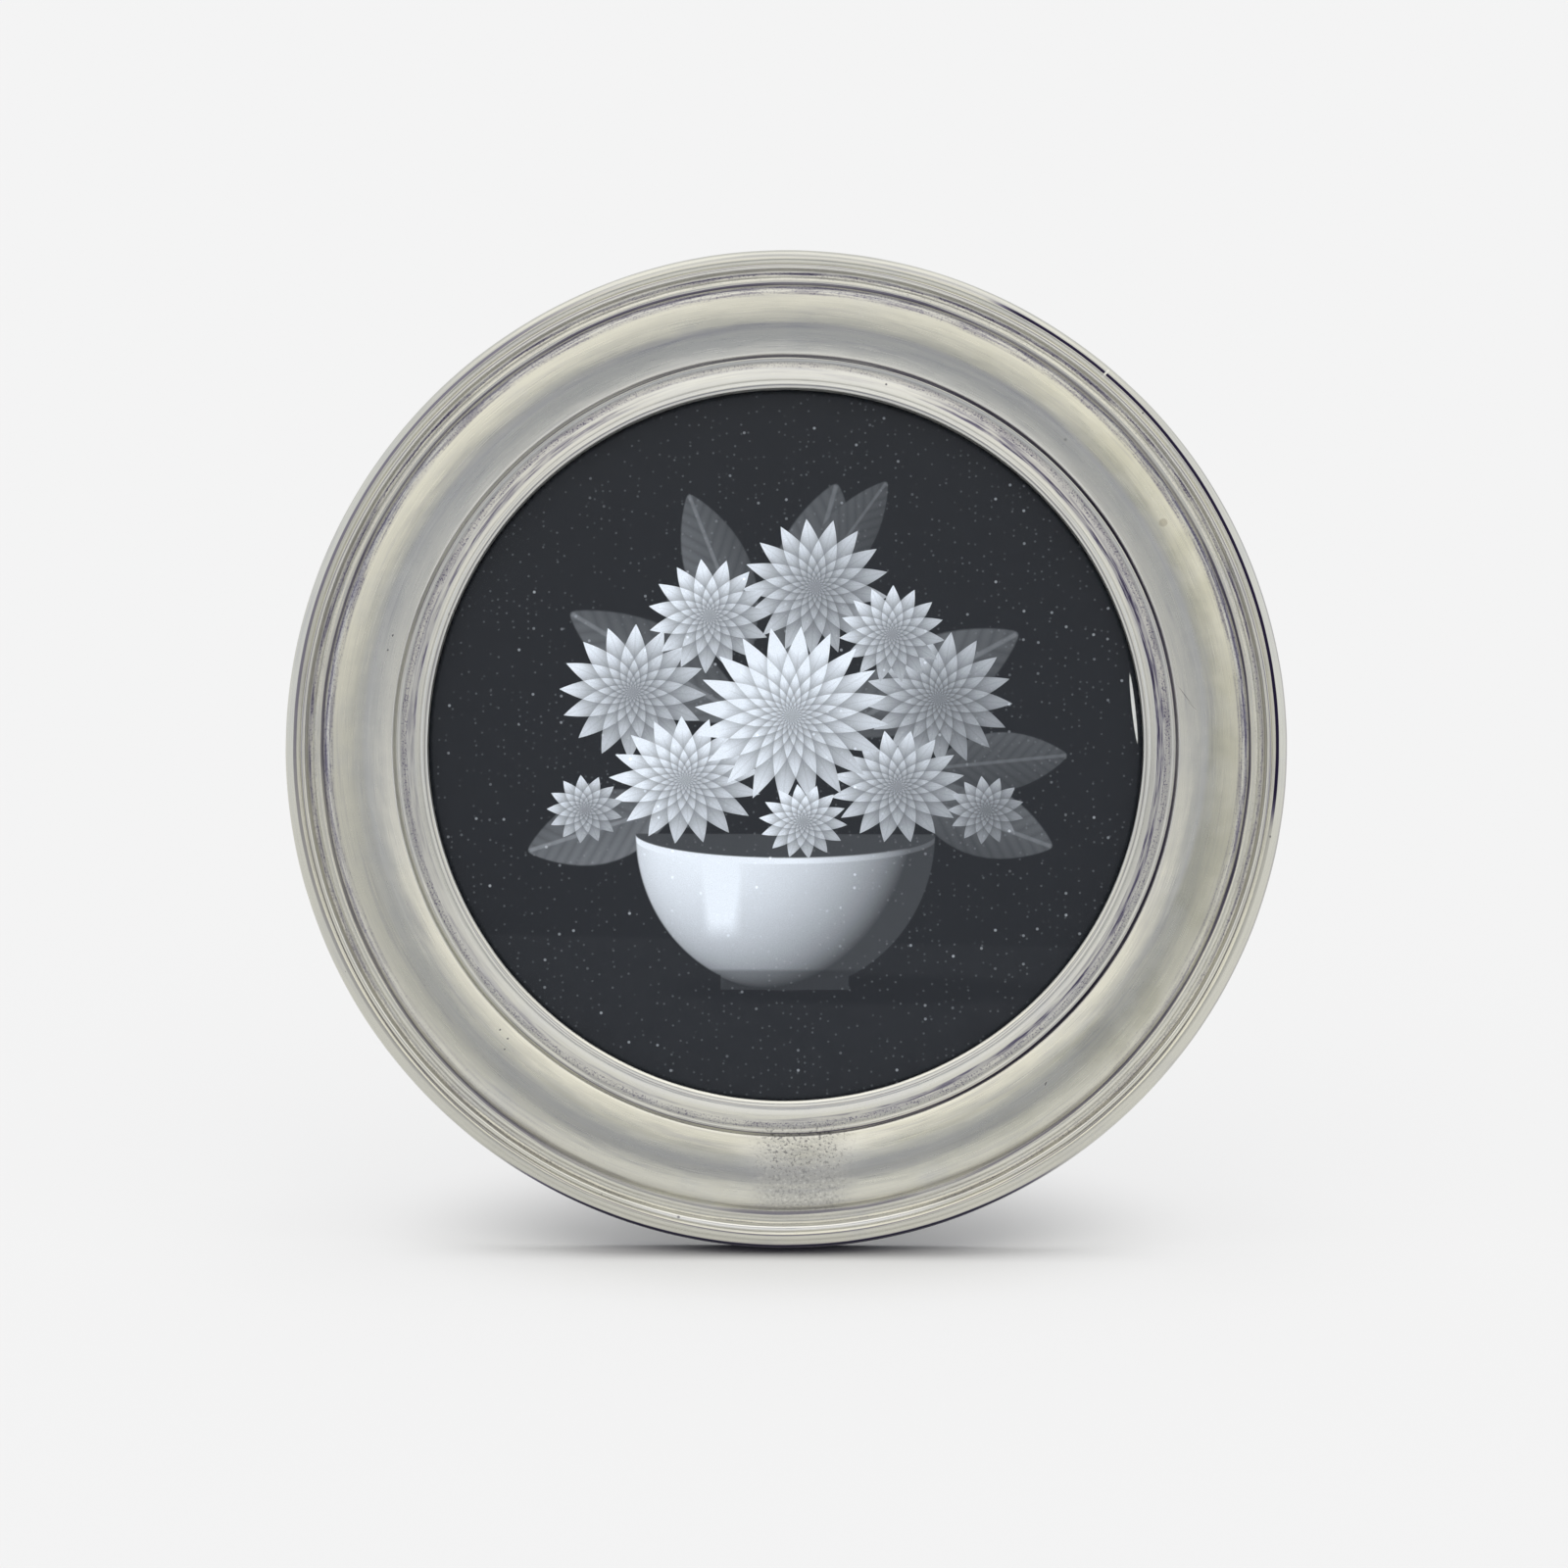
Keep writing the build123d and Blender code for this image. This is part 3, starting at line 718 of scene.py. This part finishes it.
cells = pewter.node("ShaderNodeTexVoronoi", {"feature": "F1"}, {"Vector": place, "Scale": 230.0})
pick, size_pick, _ = pewter.split(cells.other("Color"))
pits = pewter.step(cells, size_pick * 0.07 + 0.055, 0.03) * pewter.step(pick, 0.86, 0.88)
scratches = mark(67.6, 8.1, -0.95, 2.3, 0.09) * 0.55 + mark(68.8, 6.3, -0.80, 1.3, 0.07) * 0.4
pocks = 0
for spec in (
    (-47.9, -48.7, 0.9, 0.22, 0.16),
    (-46.6, -50.2, 0.2, 0.22, 0.18),
    (-47.1, -52.0, 0.6, 0.20, 0.15),
    (44.0, -57.5, 1.2, 0.45, 0.12),
    (-66.6, 18.1, 1.2, 0.30, 0.15),
    (-67.4, 15.6, 1.2, 0.25, 0.15),
):
    pocks = mark(*spec) + pocks
spot = mark(63.9, 37.6, 0.4, 0.9, 0.8)
nick = mark(54.3, 63.6, 0.9, 1.1, 0.26) * 0.9
# Painted highlight: a pale flare beside the feed mark.
feed_flare_highlight = mark(14.0, -67.6, 0.2, 6.5, 2.4)

# %% The feed mark at the foot, and the painted highlights beside it
feed_x = 3.0 * mm
low_down = pewter.step(upwards, -0.9, -0.96)
feed = pewter.band(x, feed_x, 3.5 * mm, 7.0 * mm) * low_down
feed = feed * pewter.band(radius, 72.0 * mm, 5.5 * mm, 3.5 * mm)
feed_specks = pewter.noise(place, 1900.0, 3.0, 0.6)
feed_inner = pewter.band(radius, 67.5 * mm, 2.0 * mm, 4.0 * mm) * 0.55 + 0.45
feed_dots = feed * feed_inner * pewter.step(feed_specks, 0.47, 0.37)
# Painted highlight: a pale flare on each side of the feed mark.
feed_flank_highlight = pewter.band(abs(x - feed_x), 7.0 * mm, 1.0 * mm, 5.0 * mm) * low_down
feed_flank_highlight = feed_flank_highlight * pewter.band(radius, 69.8 * mm, 1.0 * mm, 2.5 * mm)

# %% [markdown]
# The back and the pockets are left as cast: grey and grainy. The outer wall is turned, with fine
# lines round it, and a painted highlight makes it paler at the upper left. Where the wash is thin it
# looks violet, and where it is thick nearly black, so the colour goes through violet on its way from
# wiped metal to patina.

# %% Colour of the casting
bright = (0.86, 0.85, 0.79, 1)
violet = (0.150, 0.138, 0.205, 1)
patina = (0.020, 0.015, 0.042, 1)
raw = (1 - on_face) * pewter.step(ring_r - away, 0.3 * mm, 0.8 * mm)
casting = pewter.noise(place, 700.0, 4.0, 0.65)
wall = (1 - on_face) * (1 - raw)
turned_place = pewter.vector(rightwards * 5, upwards * 5, height * 3600)
turned_lines = pewter.noise(turned_place, 1.0, 4.0, 0.62)
for share, tone in (
    # painted highlights beside the feed mark
    (feed_flank_highlight * 0.60 + feed_flare_highlight * 0.35, bright),
    (feed * 0.42, (0.43, 0.43, 0.43, 1)),
    (feed * pewter.step(feed_specks, 0.56, 0.66) * 0.50, bright),
    (spot * 0.35, (0.22, 0.18, 0.11, 1)),
    (nick, bright),
    (raw * (casting * 0.5 + 0.55), (0.40, 0.405, 0.40, 1)),
    (wall * (pewter.step(turned_lines, 0.40, 0.66) * 0.35 + 0.25), (0.46, 0.46, 0.45, 1)),
    # painted highlight: the outer wall paler towards the upper left
    (wall * towards(135, 0.78, 0.92) * 0.85, (0.92, 0.92, 0.91, 1)),
):
    wiped = pewter.mix(share, wiped, tone)
marks = (pits * 0.8 + scratches + pocks * 0.8 + feed_dots * 0.58).least(1.0) * on_face
thin_wash_and_shade = pewter.step(wash_and_shade, 0.0, 0.66) * (1 - nick)
thick_wash_and_shade = pewter.step(wash_and_shade, 0.45, 1.0) * (1 - nick)
stained = pewter.mix(thick_wash_and_shade, pewter.mix(thin_wash_and_shade, wiped, violet), patina)
base = pewter.mix(marks, stained, patina)

# %% Roughness and relief of the casting
rough = streaks * 0.08 + fine_streaks * 0.05 + wash_and_shade * 0.25 + feed * 0.08 + 0.22
rough = rough + wall * (turned_lines * 0.14 + 0.06) + raw * (casting * 0.30 + 0.08)
waviness = pewter.noise(place, 140.0, 2.0, 0.5)
relief = waviness * (0.09 * mm) + streaks * (0.014 * mm) + fine_streaks * (0.004 * mm)
relief = relief - marks * (0.03 * mm) - wash_and_shade * (0.04 * mm) + feed * feed_specks * (0.06 * mm)
relief = relief + wall * turned_lines * (0.02 * mm) + raw * casting * (0.22 * mm)
normal = pewter.bump(relief, 1.0, 1.0)
shader = pewter.principled(Base_Color=base, Metallic=1.0, Roughness=rough, Normal=normal)
dress(ring, pewter.surface(shader))
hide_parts("frame_ring")
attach(ring, "frame")
print("pewter nodes:", len(pewter.tree.nodes))

# %% [markdown]
# The print is an old-fashioned black-and-white still life: white dahlias with dark leaves in a pale
# bowl on a dark table. It could be painted into an image, but drawn with shader maths it stays sharp
# at any distance. A dahlia's petals sit on two sets of crossing spirals, so the product of two
# waves over the angle and the logarithm of the distance already looks like one.

# %% Drawing a flower, a leaf and a bowl
petal_pitch = 1.35  # how tightly the spirals of petals wind
paper = Finish("still_life_print")
sheet_place = paper.place(ring_centre, ring_turn)
px, py, _ = paper.split(sheet_place)
grain_noise = paper.noise(sheet_place, 5200.0, 2.0, 0.7)
soft_noise = paper.noise(sheet_place, 260.0, 4.0, 0.6)


def bloom(tone, centre_x, centre_y, size, petals, turn, squash, light):
    """Draws one dahlia over the tone so far. Sizes are in millimetres."""
    u = (px - centre_x * mm) / (size * mm)
    v = (py - centre_y * mm) / (size * mm * squash)
    r = distance(u, v).most(0.03)
    turns = v.angle_to(u) * (petals / (2 * pi)) + turn
    rise = r.logarithm(2.718) * petal_pitch
    one, two = turns + rise, turns - rise
    inward, outward = one.fraction(), two.fraction()
    whorl = (one - inward - two + outward) / (2 * petal_pitch)
    cover = paper.step(whorl, -0.02, -0.06)
    tip = (inward - outward + 1) * 0.5
    aslant = inward + outward - 1
    fold = (1 - aslant * aslant * 0.40) * (1 - paper.band(aslant, 0.0, 0.02, 0.10) * 0.10)
    petal = (paper.step(tip, 0.0, 0.9) * 0.60 + 0.40) * fold
    form = (v * 0.26 - u * 0.22 + 0.80) * (paper.step(r, -0.1, 0.6) * 0.4 + 0.6)
    shade = (petal * form * light).least(0.95) * (0.92 + soft_noise * 0.16)
    return tone + (shade - tone) * cover


def leaf(tone, root_x, root_y, turn, length, width, light):
    """Draws one pointed leaf with a pale rib over the tone so far."""
    u, v = along_and_across(px, py, root_x, root_y, turn, length, width)
    half = (u.most(0.0).least(1.0) * pi).sine() ** 0.8
    cover = paper.step(abs(v) - half * 0.5, 0.02, -0.02) * paper.step(u, 0.0, 0.02)
    veins = abs((u * 34 - abs(v) * 16).sine()) * 0.25 + 0.75
    rib = paper.band(v, 0.0, 0.012, 0.03)
    shade = veins * light * (0.75 + v * 0.5) + rib * light * 0.6
    return tone + (shade - tone) * cover * paper.step(u, 1.0, 0.98)


# %% [markdown]
# The picture is built up as a painter would: dark ground and table, leaves, bowl, then the flowers
# from the back to the front. The bowl is shaded as the ball it is cut from, lit from the upper left,
# and its rim is an ellipse because we look into it from a little above.

# %% Ground, leaves and bowl
vignette = distance(px, py + 4 * mm) / (62 * mm)
tone = 0.002 + soft_noise * 0.004 + paper.step(vignette, 1.0, 0.1) * 0.003
table_top = paper.step(py + px * 0.02, -33.0 * mm, -33.6 * mm)
tone = tone + table_top * (0.001 + soft_noise * 0.006)
leaves = (  # root across and up, turn, length, width, light
    (-6, 4, 2.6, 36, 13, 0.15),
    (8, 2, 0.50, 36, 14, 0.13),
    (0, 14, 1.30, 32, 13, 0.12),
    (-18, -10, 3.45, 27, 12, 0.18),
    (20, -8, -0.35, 27, 12, 0.13),
    (-6, 16, 1.95, 29, 11, 0.14),
    (24, -4, 0.1, 24, 10, 0.10),
    (2, 24, 0.95, 26, 9, 0.10),
)
for spec in leaves:
    tone = leaf(tone, *spec)
bowl_u, bowl_v = px / (25.5 * mm), (py + 15.0 * mm) / (27.0 * mm)
bowl_flat = bowl_u * bowl_u + bowl_v * bowl_v
front_rim = (1 - bowl_u * bowl_u).most(0.0) ** 0.5 * (-4.2 * mm) - 15.0 * mm
bowl_round = paper.step(bowl_flat, 1.0, 0.97)
bowl_cover = bowl_round * paper.step(py - front_rim, 0.15 * mm, -0.15 * mm)
bowl_cover = bowl_cover * paper.step(bowl_v, -0.90, -0.885)
inside = bowl_round * paper.step(py, -15.0 * mm, -15.3 * mm)
tone = tone + (0.05 - tone) * inside
foot_cover = paper.band(py, -39.9 * mm, 1.6 * mm, 0.2 * mm)
foot_cover = foot_cover * paper.step(abs(px), 11.0 * mm, 10.7 * mm)
china = bowl_cover.most(foot_cover)
bulge = (1 - bowl_flat).most(0.0) ** 0.5
lit = (bulge * 0.78 - bowl_u * 0.55 + bowl_v * 0.28 + 0.10).most(0.05)
rim_light = paper.band(py - front_rim, -0.6 * mm, 0.25 * mm, 0.35 * mm) * 0.30
glaze = paper.band(bowl_u, -0.42, 0.05, 0.10) * paper.band(bowl_v, -0.42, 0.12, 0.16) * 0.25
bowl_shade = (lit * 0.92 + rim_light * (0.7 - bowl_u * 0.5) + glaze) * (0.97 + soft_noise * 0.06)
foot_shadow = paper.step(py, -38.6 * mm, -37.9 * mm) * 0.4 + 0.6
tone = tone + (bowl_shade * foot_shadow - tone) * china
shadow_u = (px - 14 * mm) / (38 * mm)
shadow_v = (py + 41.6 * mm) / (3.0 * mm)
cast = paper.step(distance(shadow_u, shadow_v), 1.1, 0.5)
tone = tone * (1 - cast * 0.7 * (1 - china))

# %% Dahlias from the back to the front
dahlias = (  # centre across and up, size, petals, turn, squash, light
    (5, 27, 12.5, 17, 0.4, 0.94, 0.80),
    (26, 8, 12.5, 17, 0.2, 0.92, 0.62),
    (-26, 9, 12.5, 16, 0.1, 0.93, 0.90),
    (-13, 22, 10.5, 15, 0.9, 0.94, 1.00),
    (18, 19, 9.0, 15, 0.3, 0.93, 0.85),
    (19, -7, 11.5, 16, 0.5, 0.84, 0.80),
    (-17, -6, 13.0, 17, 0.6, 0.84, 1.12),
    (1, 5, 16.5, 20, 0.3, 0.93, 1.25),
    (34, -11, 6.5, 13, 0.5, 0.9, 0.5),
    (-34, -11, 6.5, 13, 0.5, 0.9, 0.8),
    (3, -13, 7.5, 14, 0.2, 0.85, 1.0),
)
for spec in dahlias:
    tone = bloom(tone, *spec)

# %% [markdown]
# Old prints have grain and a little dust, which shows as pale points of two sizes. A painted shadow
# of the frame's lip darkens the paper's border, and on the right a sliver of bare white paper shows.

# %% Film grain, dust, the lip's painted shadow and the paper's edge
tone = tone.most(0.003).least(0.92) * (0.72 + grain_noise * 0.56)
flat_cells = {"feature": "F1", "voronoi_dimensions": "2D"}
for scale, edge, rarity, strength in ((420.0, 0.13, 0.92, 0.36), (800.0, 0.20, 0.66, 0.07)):
    scattered = {"Vector": sheet_place, "Scale": scale}
    cells = paper.node("ShaderNodeTexVoronoi", flat_cells, scattered)
    pick, shade, _ = paper.split(cells.other("Color"))
    dust = paper.step(cells, edge, edge * 0.5) * paper.step(pick, rarity, rarity + 0.02)
    tone = tone + dust * (shade * 0.8 + 0.2) * strength
# Painted shadow of the frame's lip on the paper's border.
lip_painted_shadow = paper.step(distance(px, py), 59.7 * mm, 60.2 * mm)
tone = tone * (1 - lip_painted_shadow * 0.8)
inks = (tone * 0.93, tone * 0.98 + 0.0015, tone * 1.10 + 0.005)
cold_black = paper.node("ShaderNodeCombineColor", {}, inks)
cut_turn = radians(6.2)
beyond = (px * cos(cut_turn) + py * sin(cut_turn) - 59.35 * mm) / (0.32 * mm)
beside = (py * cos(cut_turn) - px * sin(cut_turn)) / (6.3 * mm)
bare = paper.step(beyond * beyond + beside * beside, 1.0, 0.7)
picture = paper.mix(bare, cold_black, (0.96, 0.96, 0.96, 1))
print_relief = paper.bump(soft_noise, 0.2, 0.04 * mm)
printed = paper.principled(
    Base_Color=picture, Roughness=0.45, Normal=print_relief, Specular_IOR_Level=0.2
)
dress(nodes["photo_print"], paper.surface(printed))
print("print nodes:", len(paper.tree.nodes))

# %% [markdown]
# Picture glass is clear, with a weak green tint that only its edge shows. A sheet this thin hardly
# bends light, so it is a mix of a transparent and a glossy surface, with the Fresnel share that
# glass has: a few hundredths head-on, nearly all of it at a grazing angle.

# %% Picture glass
glass_r = 63.5 * mm
glass_back, glass_front = 7.94 * mm, 9.88 * mm
seam = 0.25 * mm
pane_sides = 192
glass_outline = (
    (glass_r - seam, glass_back),
    (glass_r, glass_back + seam),
    (glass_r, glass_front - seam),
    (glass_r - seam, glass_front),
)
pane_mesh = bmesh.new()
hoops = [(circle(0, 0, radius, pane_sides), height) for radius, height in glass_outline]
layered(pane_mesh, *hoops)
pane_mesh.transform(ring_matrix)
glass_mesh = bpy.data.meshes.new("picture_glass")
pane_mesh.to_mesh(glass_mesh)
print("glass volume, cm3:", round(pane_mesh.calc_volume() * 1e6, 2))
pane_mesh.free()
glass = placed("picture_glass", glass_mesh)

pane = Finish("picture_glass")
pane_place = pane.place(ring_centre, ring_turn)
gx, gy, _ = pane.split(pane_place)
out = distance(gx, gy)
pane_edge = pane.step(out, 63.0 * mm, 63.4 * mm)
clear = pane.node("ShaderNodeBsdfTransparent", {}, {"Color": (0.985, 0.992, 0.988, 1)})
sheen = pane.node("ShaderNodeBsdfGlossy", {}, {"Color": (1, 1, 1, 1), "Roughness": 0.02})
face_share = pane.node("ShaderNodeFresnel", {}, {"IOR": 1.5})
wisps = pane.noise(pane_place, 60.0, 3.0, 0.6)
from_behind = pane.node("ShaderNodeNewGeometry", {}, (), "Backfacing")
# Painted shade: just inside the lip the glass mirrors less, so the print's border looks darker.
lip_glass_shade = pane.step(out, 59.6 * mm, 60.3 * mm) * pane.step(out, 61.6 * mm, 61.0 * mm)
share = (face_share * (wisps * 0.1 + 1.15) + pane_edge * 0.5).least(1.0)
share = share * (1 - from_behind) * (1 - lip_glass_shade * 0.8)
pane_shader = pane.node("ShaderNodeMixShader", {}, (share, clear, sheen))
dress(glass, pane.surface(pane_shader))
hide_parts("glass_pane")
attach(glass, "frame")

# %% [markdown]
# The back is cheap and honest: brown hardboard faced with black cloth, a zinc-plated hinge held by
# nickel rivets, brass turn buttons on fibre washers. Each finish is a principled surface whose
# colour, roughness and relief come from noise at the scale of the real grain. Felt is a mat of
# short fibres that lie in all directions; three noises, each stretched another way, give it.

# %% Felt cloth
felt = Finish("felt_cloth")
felt_place = felt.place()
fibres = 0
fibre_scale = (1100.0, 5200.0, 2600.0)
for turn in (0.3, 1.35, 2.4):
    lay = {"Vector": felt_place, "Rotation": (0.2 * turn, 0.15, turn), "Scale": fibre_scale}
    fibres = felt.noise(felt.node("ShaderNodeMapping", {}, lay), 1.0, 2.0, 0.6).most(fibres)
nap = felt.noise(felt_place, 220.0, 4.0, 0.6)
lint = felt.step(felt.noise(felt_place, 1900.0, 1.0, 0.4), 0.735, 0.77)
lit_fibres = felt.step(fibres, 0.45, 0.8)
felt_tone = felt.mix(lit_fibres, (0.008, 0.008, 0.010, 1), (0.042, 0.042, 0.047, 1))
felt_tone = felt.mix(nap * 0.35, felt_tone, (0.022, 0.021, 0.023, 1))
felt_tone = felt.mix(lint * 0.5, felt_tone, (0.20, 0.19, 0.18, 1))
felt_normal = felt.bump(fibres * 0.7 + nap * 0.6, 0.8, 0.25 * mm)
felt_shader = felt.principled(
    Base_Color=felt_tone, Roughness=0.95, Normal=felt_normal, Sheen_Weight=0.25, Sheen_Roughness=0.6
)
black_felt = felt.surface(felt_shader)

# %% Hardboard
board = Finish("brown_hardboard")
board_place = board.place()
chips = board.noise(board_place, 1500.0, 5.0, 0.7)
clouds = board.noise(board_place, 90.0, 3.0, 0.5)
pale_chips = board.step(chips, 0.3, 0.72)
brown = board.mix(pale_chips, (0.075, 0.040, 0.020, 1), (0.25, 0.150, 0.080, 1))
brown = board.mix(clouds * 0.4, brown, (0.16, 0.095, 0.050, 1))
board_normal = board.bump(chips, 0.6, 0.12 * mm)
board_rough = chips * 0.25 + 0.62
board_shader = board.principled(Base_Color=brown, Roughness=board_rough, Normal=board_normal)
hardboard = board.surface(board_shader)


# %% Plated steel, nickel and brass
def metal(name, low, high, tarnish, grain, rough, wear):
    """A plated or tumbled metal: fine grain one way, soft clouds of tarnish, small dents."""
    made = Finish(name)
    where = made.place()
    drawn = made.node("ShaderNodeMapping", {}, {"Vector": where, "Scale": grain})
    lines = made.noise(drawn, 1.0, 3.0, 0.6)
    dents = made.noise(where, 1300.0, 2.0, 0.5)
    tarnished = made.step(made.noise(where, 330.0, 4.0, 0.6), 0.48, 0.72)
    colour = made.mix(made.step(lines, 0.3, 0.7), low, high)
    colour = made.mix(tarnished * wear, colour, tarnish)
    relief = made.bump(lines * 0.5 + dents * 0.8, 0.35, 0.06 * mm)
    dull = lines * 0.12 + tarnished * 0.15 + rough
    shader = made.principled(Base_Color=colour, Metallic=1.0, Roughness=dull, Normal=relief)
    return made.surface(shader)


zinc = metal(
    "zinc_plated_steel",
    low=(0.50, 0.51, 0.52, 1),
    high=(0.68, 0.69, 0.68, 1),
    tarnish=(0.36, 0.37, 0.40, 1),
    grain=(500.0, 6000.0, 6000.0),
    rough=0.28,
    wear=0.6,
)
nickel = metal(
    "nickel_plate",
    low=(0.55, 0.54, 0.50, 1),
    high=(0.70, 0.69, 0.64, 1),
    tarnish=(0.40, 0.38, 0.34, 1),
    grain=(2500.0, 2500.0, 2500.0),
    rough=0.20,
    wear=0.35,
)
brass = metal(
    "tumbled_brass",
    low=(0.60, 0.43, 0.18, 1),
    high=(0.80, 0.62, 0.32, 1),
    tarnish=(0.30, 0.19, 0.08, 1),
    grain=(2200.0, 3000.0, 2600.0),
    rough=0.26,
    wear=0.5,
)


# %% Fibre washers and filler card
def pulp(name, low, high, scale, rough):
    """Pressed fibre or card: mottled fibres, dull."""
    made = Finish(name)
    where = made.place()
    flecks = made.noise(where, scale, 5.0, 0.7)
    clouds = made.noise(where, scale / 12, 2.0, 0.5)
    colour = made.mix(made.step(flecks, 0.3, 0.7), low, high)
    colour = made.mix(clouds * 0.3, colour, low)
    relief = made.bump(flecks, 0.5, 0.1 * mm)
    dull = flecks * 0.15 + rough
    return made.surface(made.principled(Base_Color=colour, Roughness=dull, Normal=relief))


red_fibre = pulp("red_fibre", (0.20, 0.045, 0.03, 1), (0.38, 0.12, 0.08, 1), 2400.0, 0.6)
grey_card = pulp("grey_card", (0.40, 0.33, 0.25, 1), (0.60, 0.52, 0.41, 1), 1300.0, 0.8)

# %% Which piece has which finish
button_corners = ("upper_right", "upper_left", "lower_left", "lower_right")
finishes = {
    black_felt: ("back_felt", "leg_outer_felt", "leg_inner_felt"),
    hardboard: ("back_board", "easel_leg"),
    zinc: ("hinge_fixed_leaf", "hinge_pin", "hinge_leg_leaf"),
    nickel: ("hinge_board_rivets", "hinge_leg_rivets"),
    brass: ["turn_button_screws", *(f"turn_button_{corner}" for corner in button_corners)],
    red_fibre: ("turn_button_washers",),
    grey_card: ("filler_card",),
}
for material, names in finishes.items():
    for name in names:
        dress(nodes[name], material)
print("pieces of the back:", sum(len(names) for names in finishes.values()))

# %% [markdown]
# A product photograph like this one is taken in a light tent: soft white from above and behind, a
# little less from the sides, and a darker front where the camera looks in. The sky of the scene
# gives exactly that, as a smooth function of the direction, so metal mirrors it softly and the pale
# floor is lit evenly. The strengths stay near 1, at which a colour renders about as it is written.

# %% The light tent
world = bpy.data.worlds.new("light_tent")
bpy.context.scene.world = world
world.use_nodes = True
world.node_tree.nodes.clear()
tent = Recipe(world.node_tree)
look = tent.node("ShaderNodeTexCoord", {}, (), "Generated")
lx, ly, lz = tent.split(look)


def patch(azimuth, elevation, inner, outer):
    """1 within inner degrees of a direction and 0 beyond outer. Azimuth 0 is the camera's side."""
    a, e = radians(azimuth), radians(elevation)
    facing = lx * (sin(a) * cos(e)) + ly * (-cos(a) * cos(e)) + lz * sin(e)
    return tent.step(facing, cos(radians(outer)), cos(radians(inner)))


tent_tone = tent.mix(tent.step(lz, -0.15, 0.15), (0.46, 0.46, 0.48, 1), (0.62, 0.62, 0.61, 1))
tent_tone = tent.mix(tent.step(ly, 0.0, 0.6), tent_tone, (0.80, 0.81, 0.82, 1))
tent_tone = tent.mix(tent.step(lz, 0.70, 0.90), tent_tone, (1.32, 1.31, 1.28, 1))
tent_tone = tent.mix(patch(180, 64, 4, 16), tent_tone, (0.75, 0.76, 0.78, 1))
for azimuth in (-30, 30):
    tent_tone = tent.mix(patch(azimuth, 42, 9, 26), tent_tone, (1.22, 1.19, 1.10, 1))
for azimuth in (-95, 95):
    tent_tone = tent.mix(patch(azimuth, 15, 15, 45), tent_tone, (0.98, 1.0, 1.05, 1))
tent_tone = tent.mix(patch(0, 12, 6, 18), tent_tone, (0.33, 0.35, 0.40, 1))
sky = tent.node("ShaderNodeBackground", {}, {"Color": tent_tone, "Strength": 1.0})
tent.node("ShaderNodeOutputWorld", {}, {"Surface": sky})


# %% Two lamps outside the tent
def lamp(name, strength, azimuth, elevation, spread):
    """A soft far lamp. The tent's white cloth is what metal and glass mirror, not the lamp."""
    data = bpy.data.lights.new(name, "SUN")
    data.energy = strength
    data.angle = radians(spread)
    made = placed(name, data)
    made.rotation_euler = (radians(90 - elevation), 0, radians(azimuth))
    made.visible_glossy = False


lamp("top_lamp", 1.9, 180, 79, 40)
lamp("front_lamp", 0.6, 0, 42, 50)

# %% [markdown]
# The floor is pale matt paper. What the camera, the metal and the glass see of it is partly a plain
# pale glow, so that it ends in an even background. Near the foot of the frame the camera sees no
# glow, and the shadow under the ring keeps its depth.

# %% The pale floor
floor_mesh = bpy.data.meshes.new("floor")
corners = ((-12, -12, 0), (12, -12, 0), (12, 12, 0), (-12, 12, 0))
floor_mesh.from_pydata(corners, [], [(0, 1, 2, 3)])
floor = placed("floor", floor_mesh)
pale = Finish("pale_paper")
pale_grain = pale.noise(pale.place(), 900.0, 2.0, 0.6)
pale_tone = pale.mix(pale_grain, (0.541, 0.541, 0.543, 1), (0.549, 0.549, 0.550, 1))
matt = pale.principled(Base_Color=pale_tone, Roughness=0.9, Specular_IOR_Level=0.0)
glow = pale.node("ShaderNodeEmission", {}, {"Color": (0.888, 0.888, 0.891, 1), "Strength": 1.0})
ray = pale.node("ShaderNodeLightPath", {}, (), "Is Camera Ray")
glossy_ray, clear_ray = ray.other("Is Glossy Ray"), ray.other("Is Transmission Ray")
shadow_y = ring_centre.y - ring_r * sin(lean) + 15 * mm
from_x, from_y, _ = pale.split(pale.place((0, shadow_y, 0)))
far_off = pale.step(distance(from_x, from_y), 33 * mm, 75 * mm)
seen = ray * far_off * 0.72 + (glossy_ray + clear_ray).least(1.0) * 0.38
dress(floor, pale.surface(pale.node("ShaderNodeMixShader", {}, (seen, matt, glow))))

# %% [markdown]
# The photograph looks at the frame from a little above, almost square to its leaning face. A long
# lens keeps the circle round. The camera looks at a point just below the ring's centre, which puts
# the centre where it is in the photograph.

# %% The camera
camera_rise, camera_yaw = radians(9.0), radians(0.9)
camera_away = 1.1175
aim = ring_centre + Vector((-0.0004, 0.0, -0.0060))
level = cos(camera_rise)
toward = Vector((sin(camera_yaw) * level, -cos(camera_yaw) * level, sin(camera_rise)))
camera_data = bpy.data.cameras.new("camera")
camera_data.lens = 150
camera = placed("camera", camera_data)
camera.location = aim + toward * camera_away
camera.rotation_euler = (-toward).to_track_quat("-Z", "Y").to_euler()
bpy.context.scene.camera = camera
bpy.context.scene.view_settings.view_transform = "Standard"
print("camera at", [round(value, 3) for value in camera.location])

# %% Bring the scene up to date
bpy.context.view_layer.update()
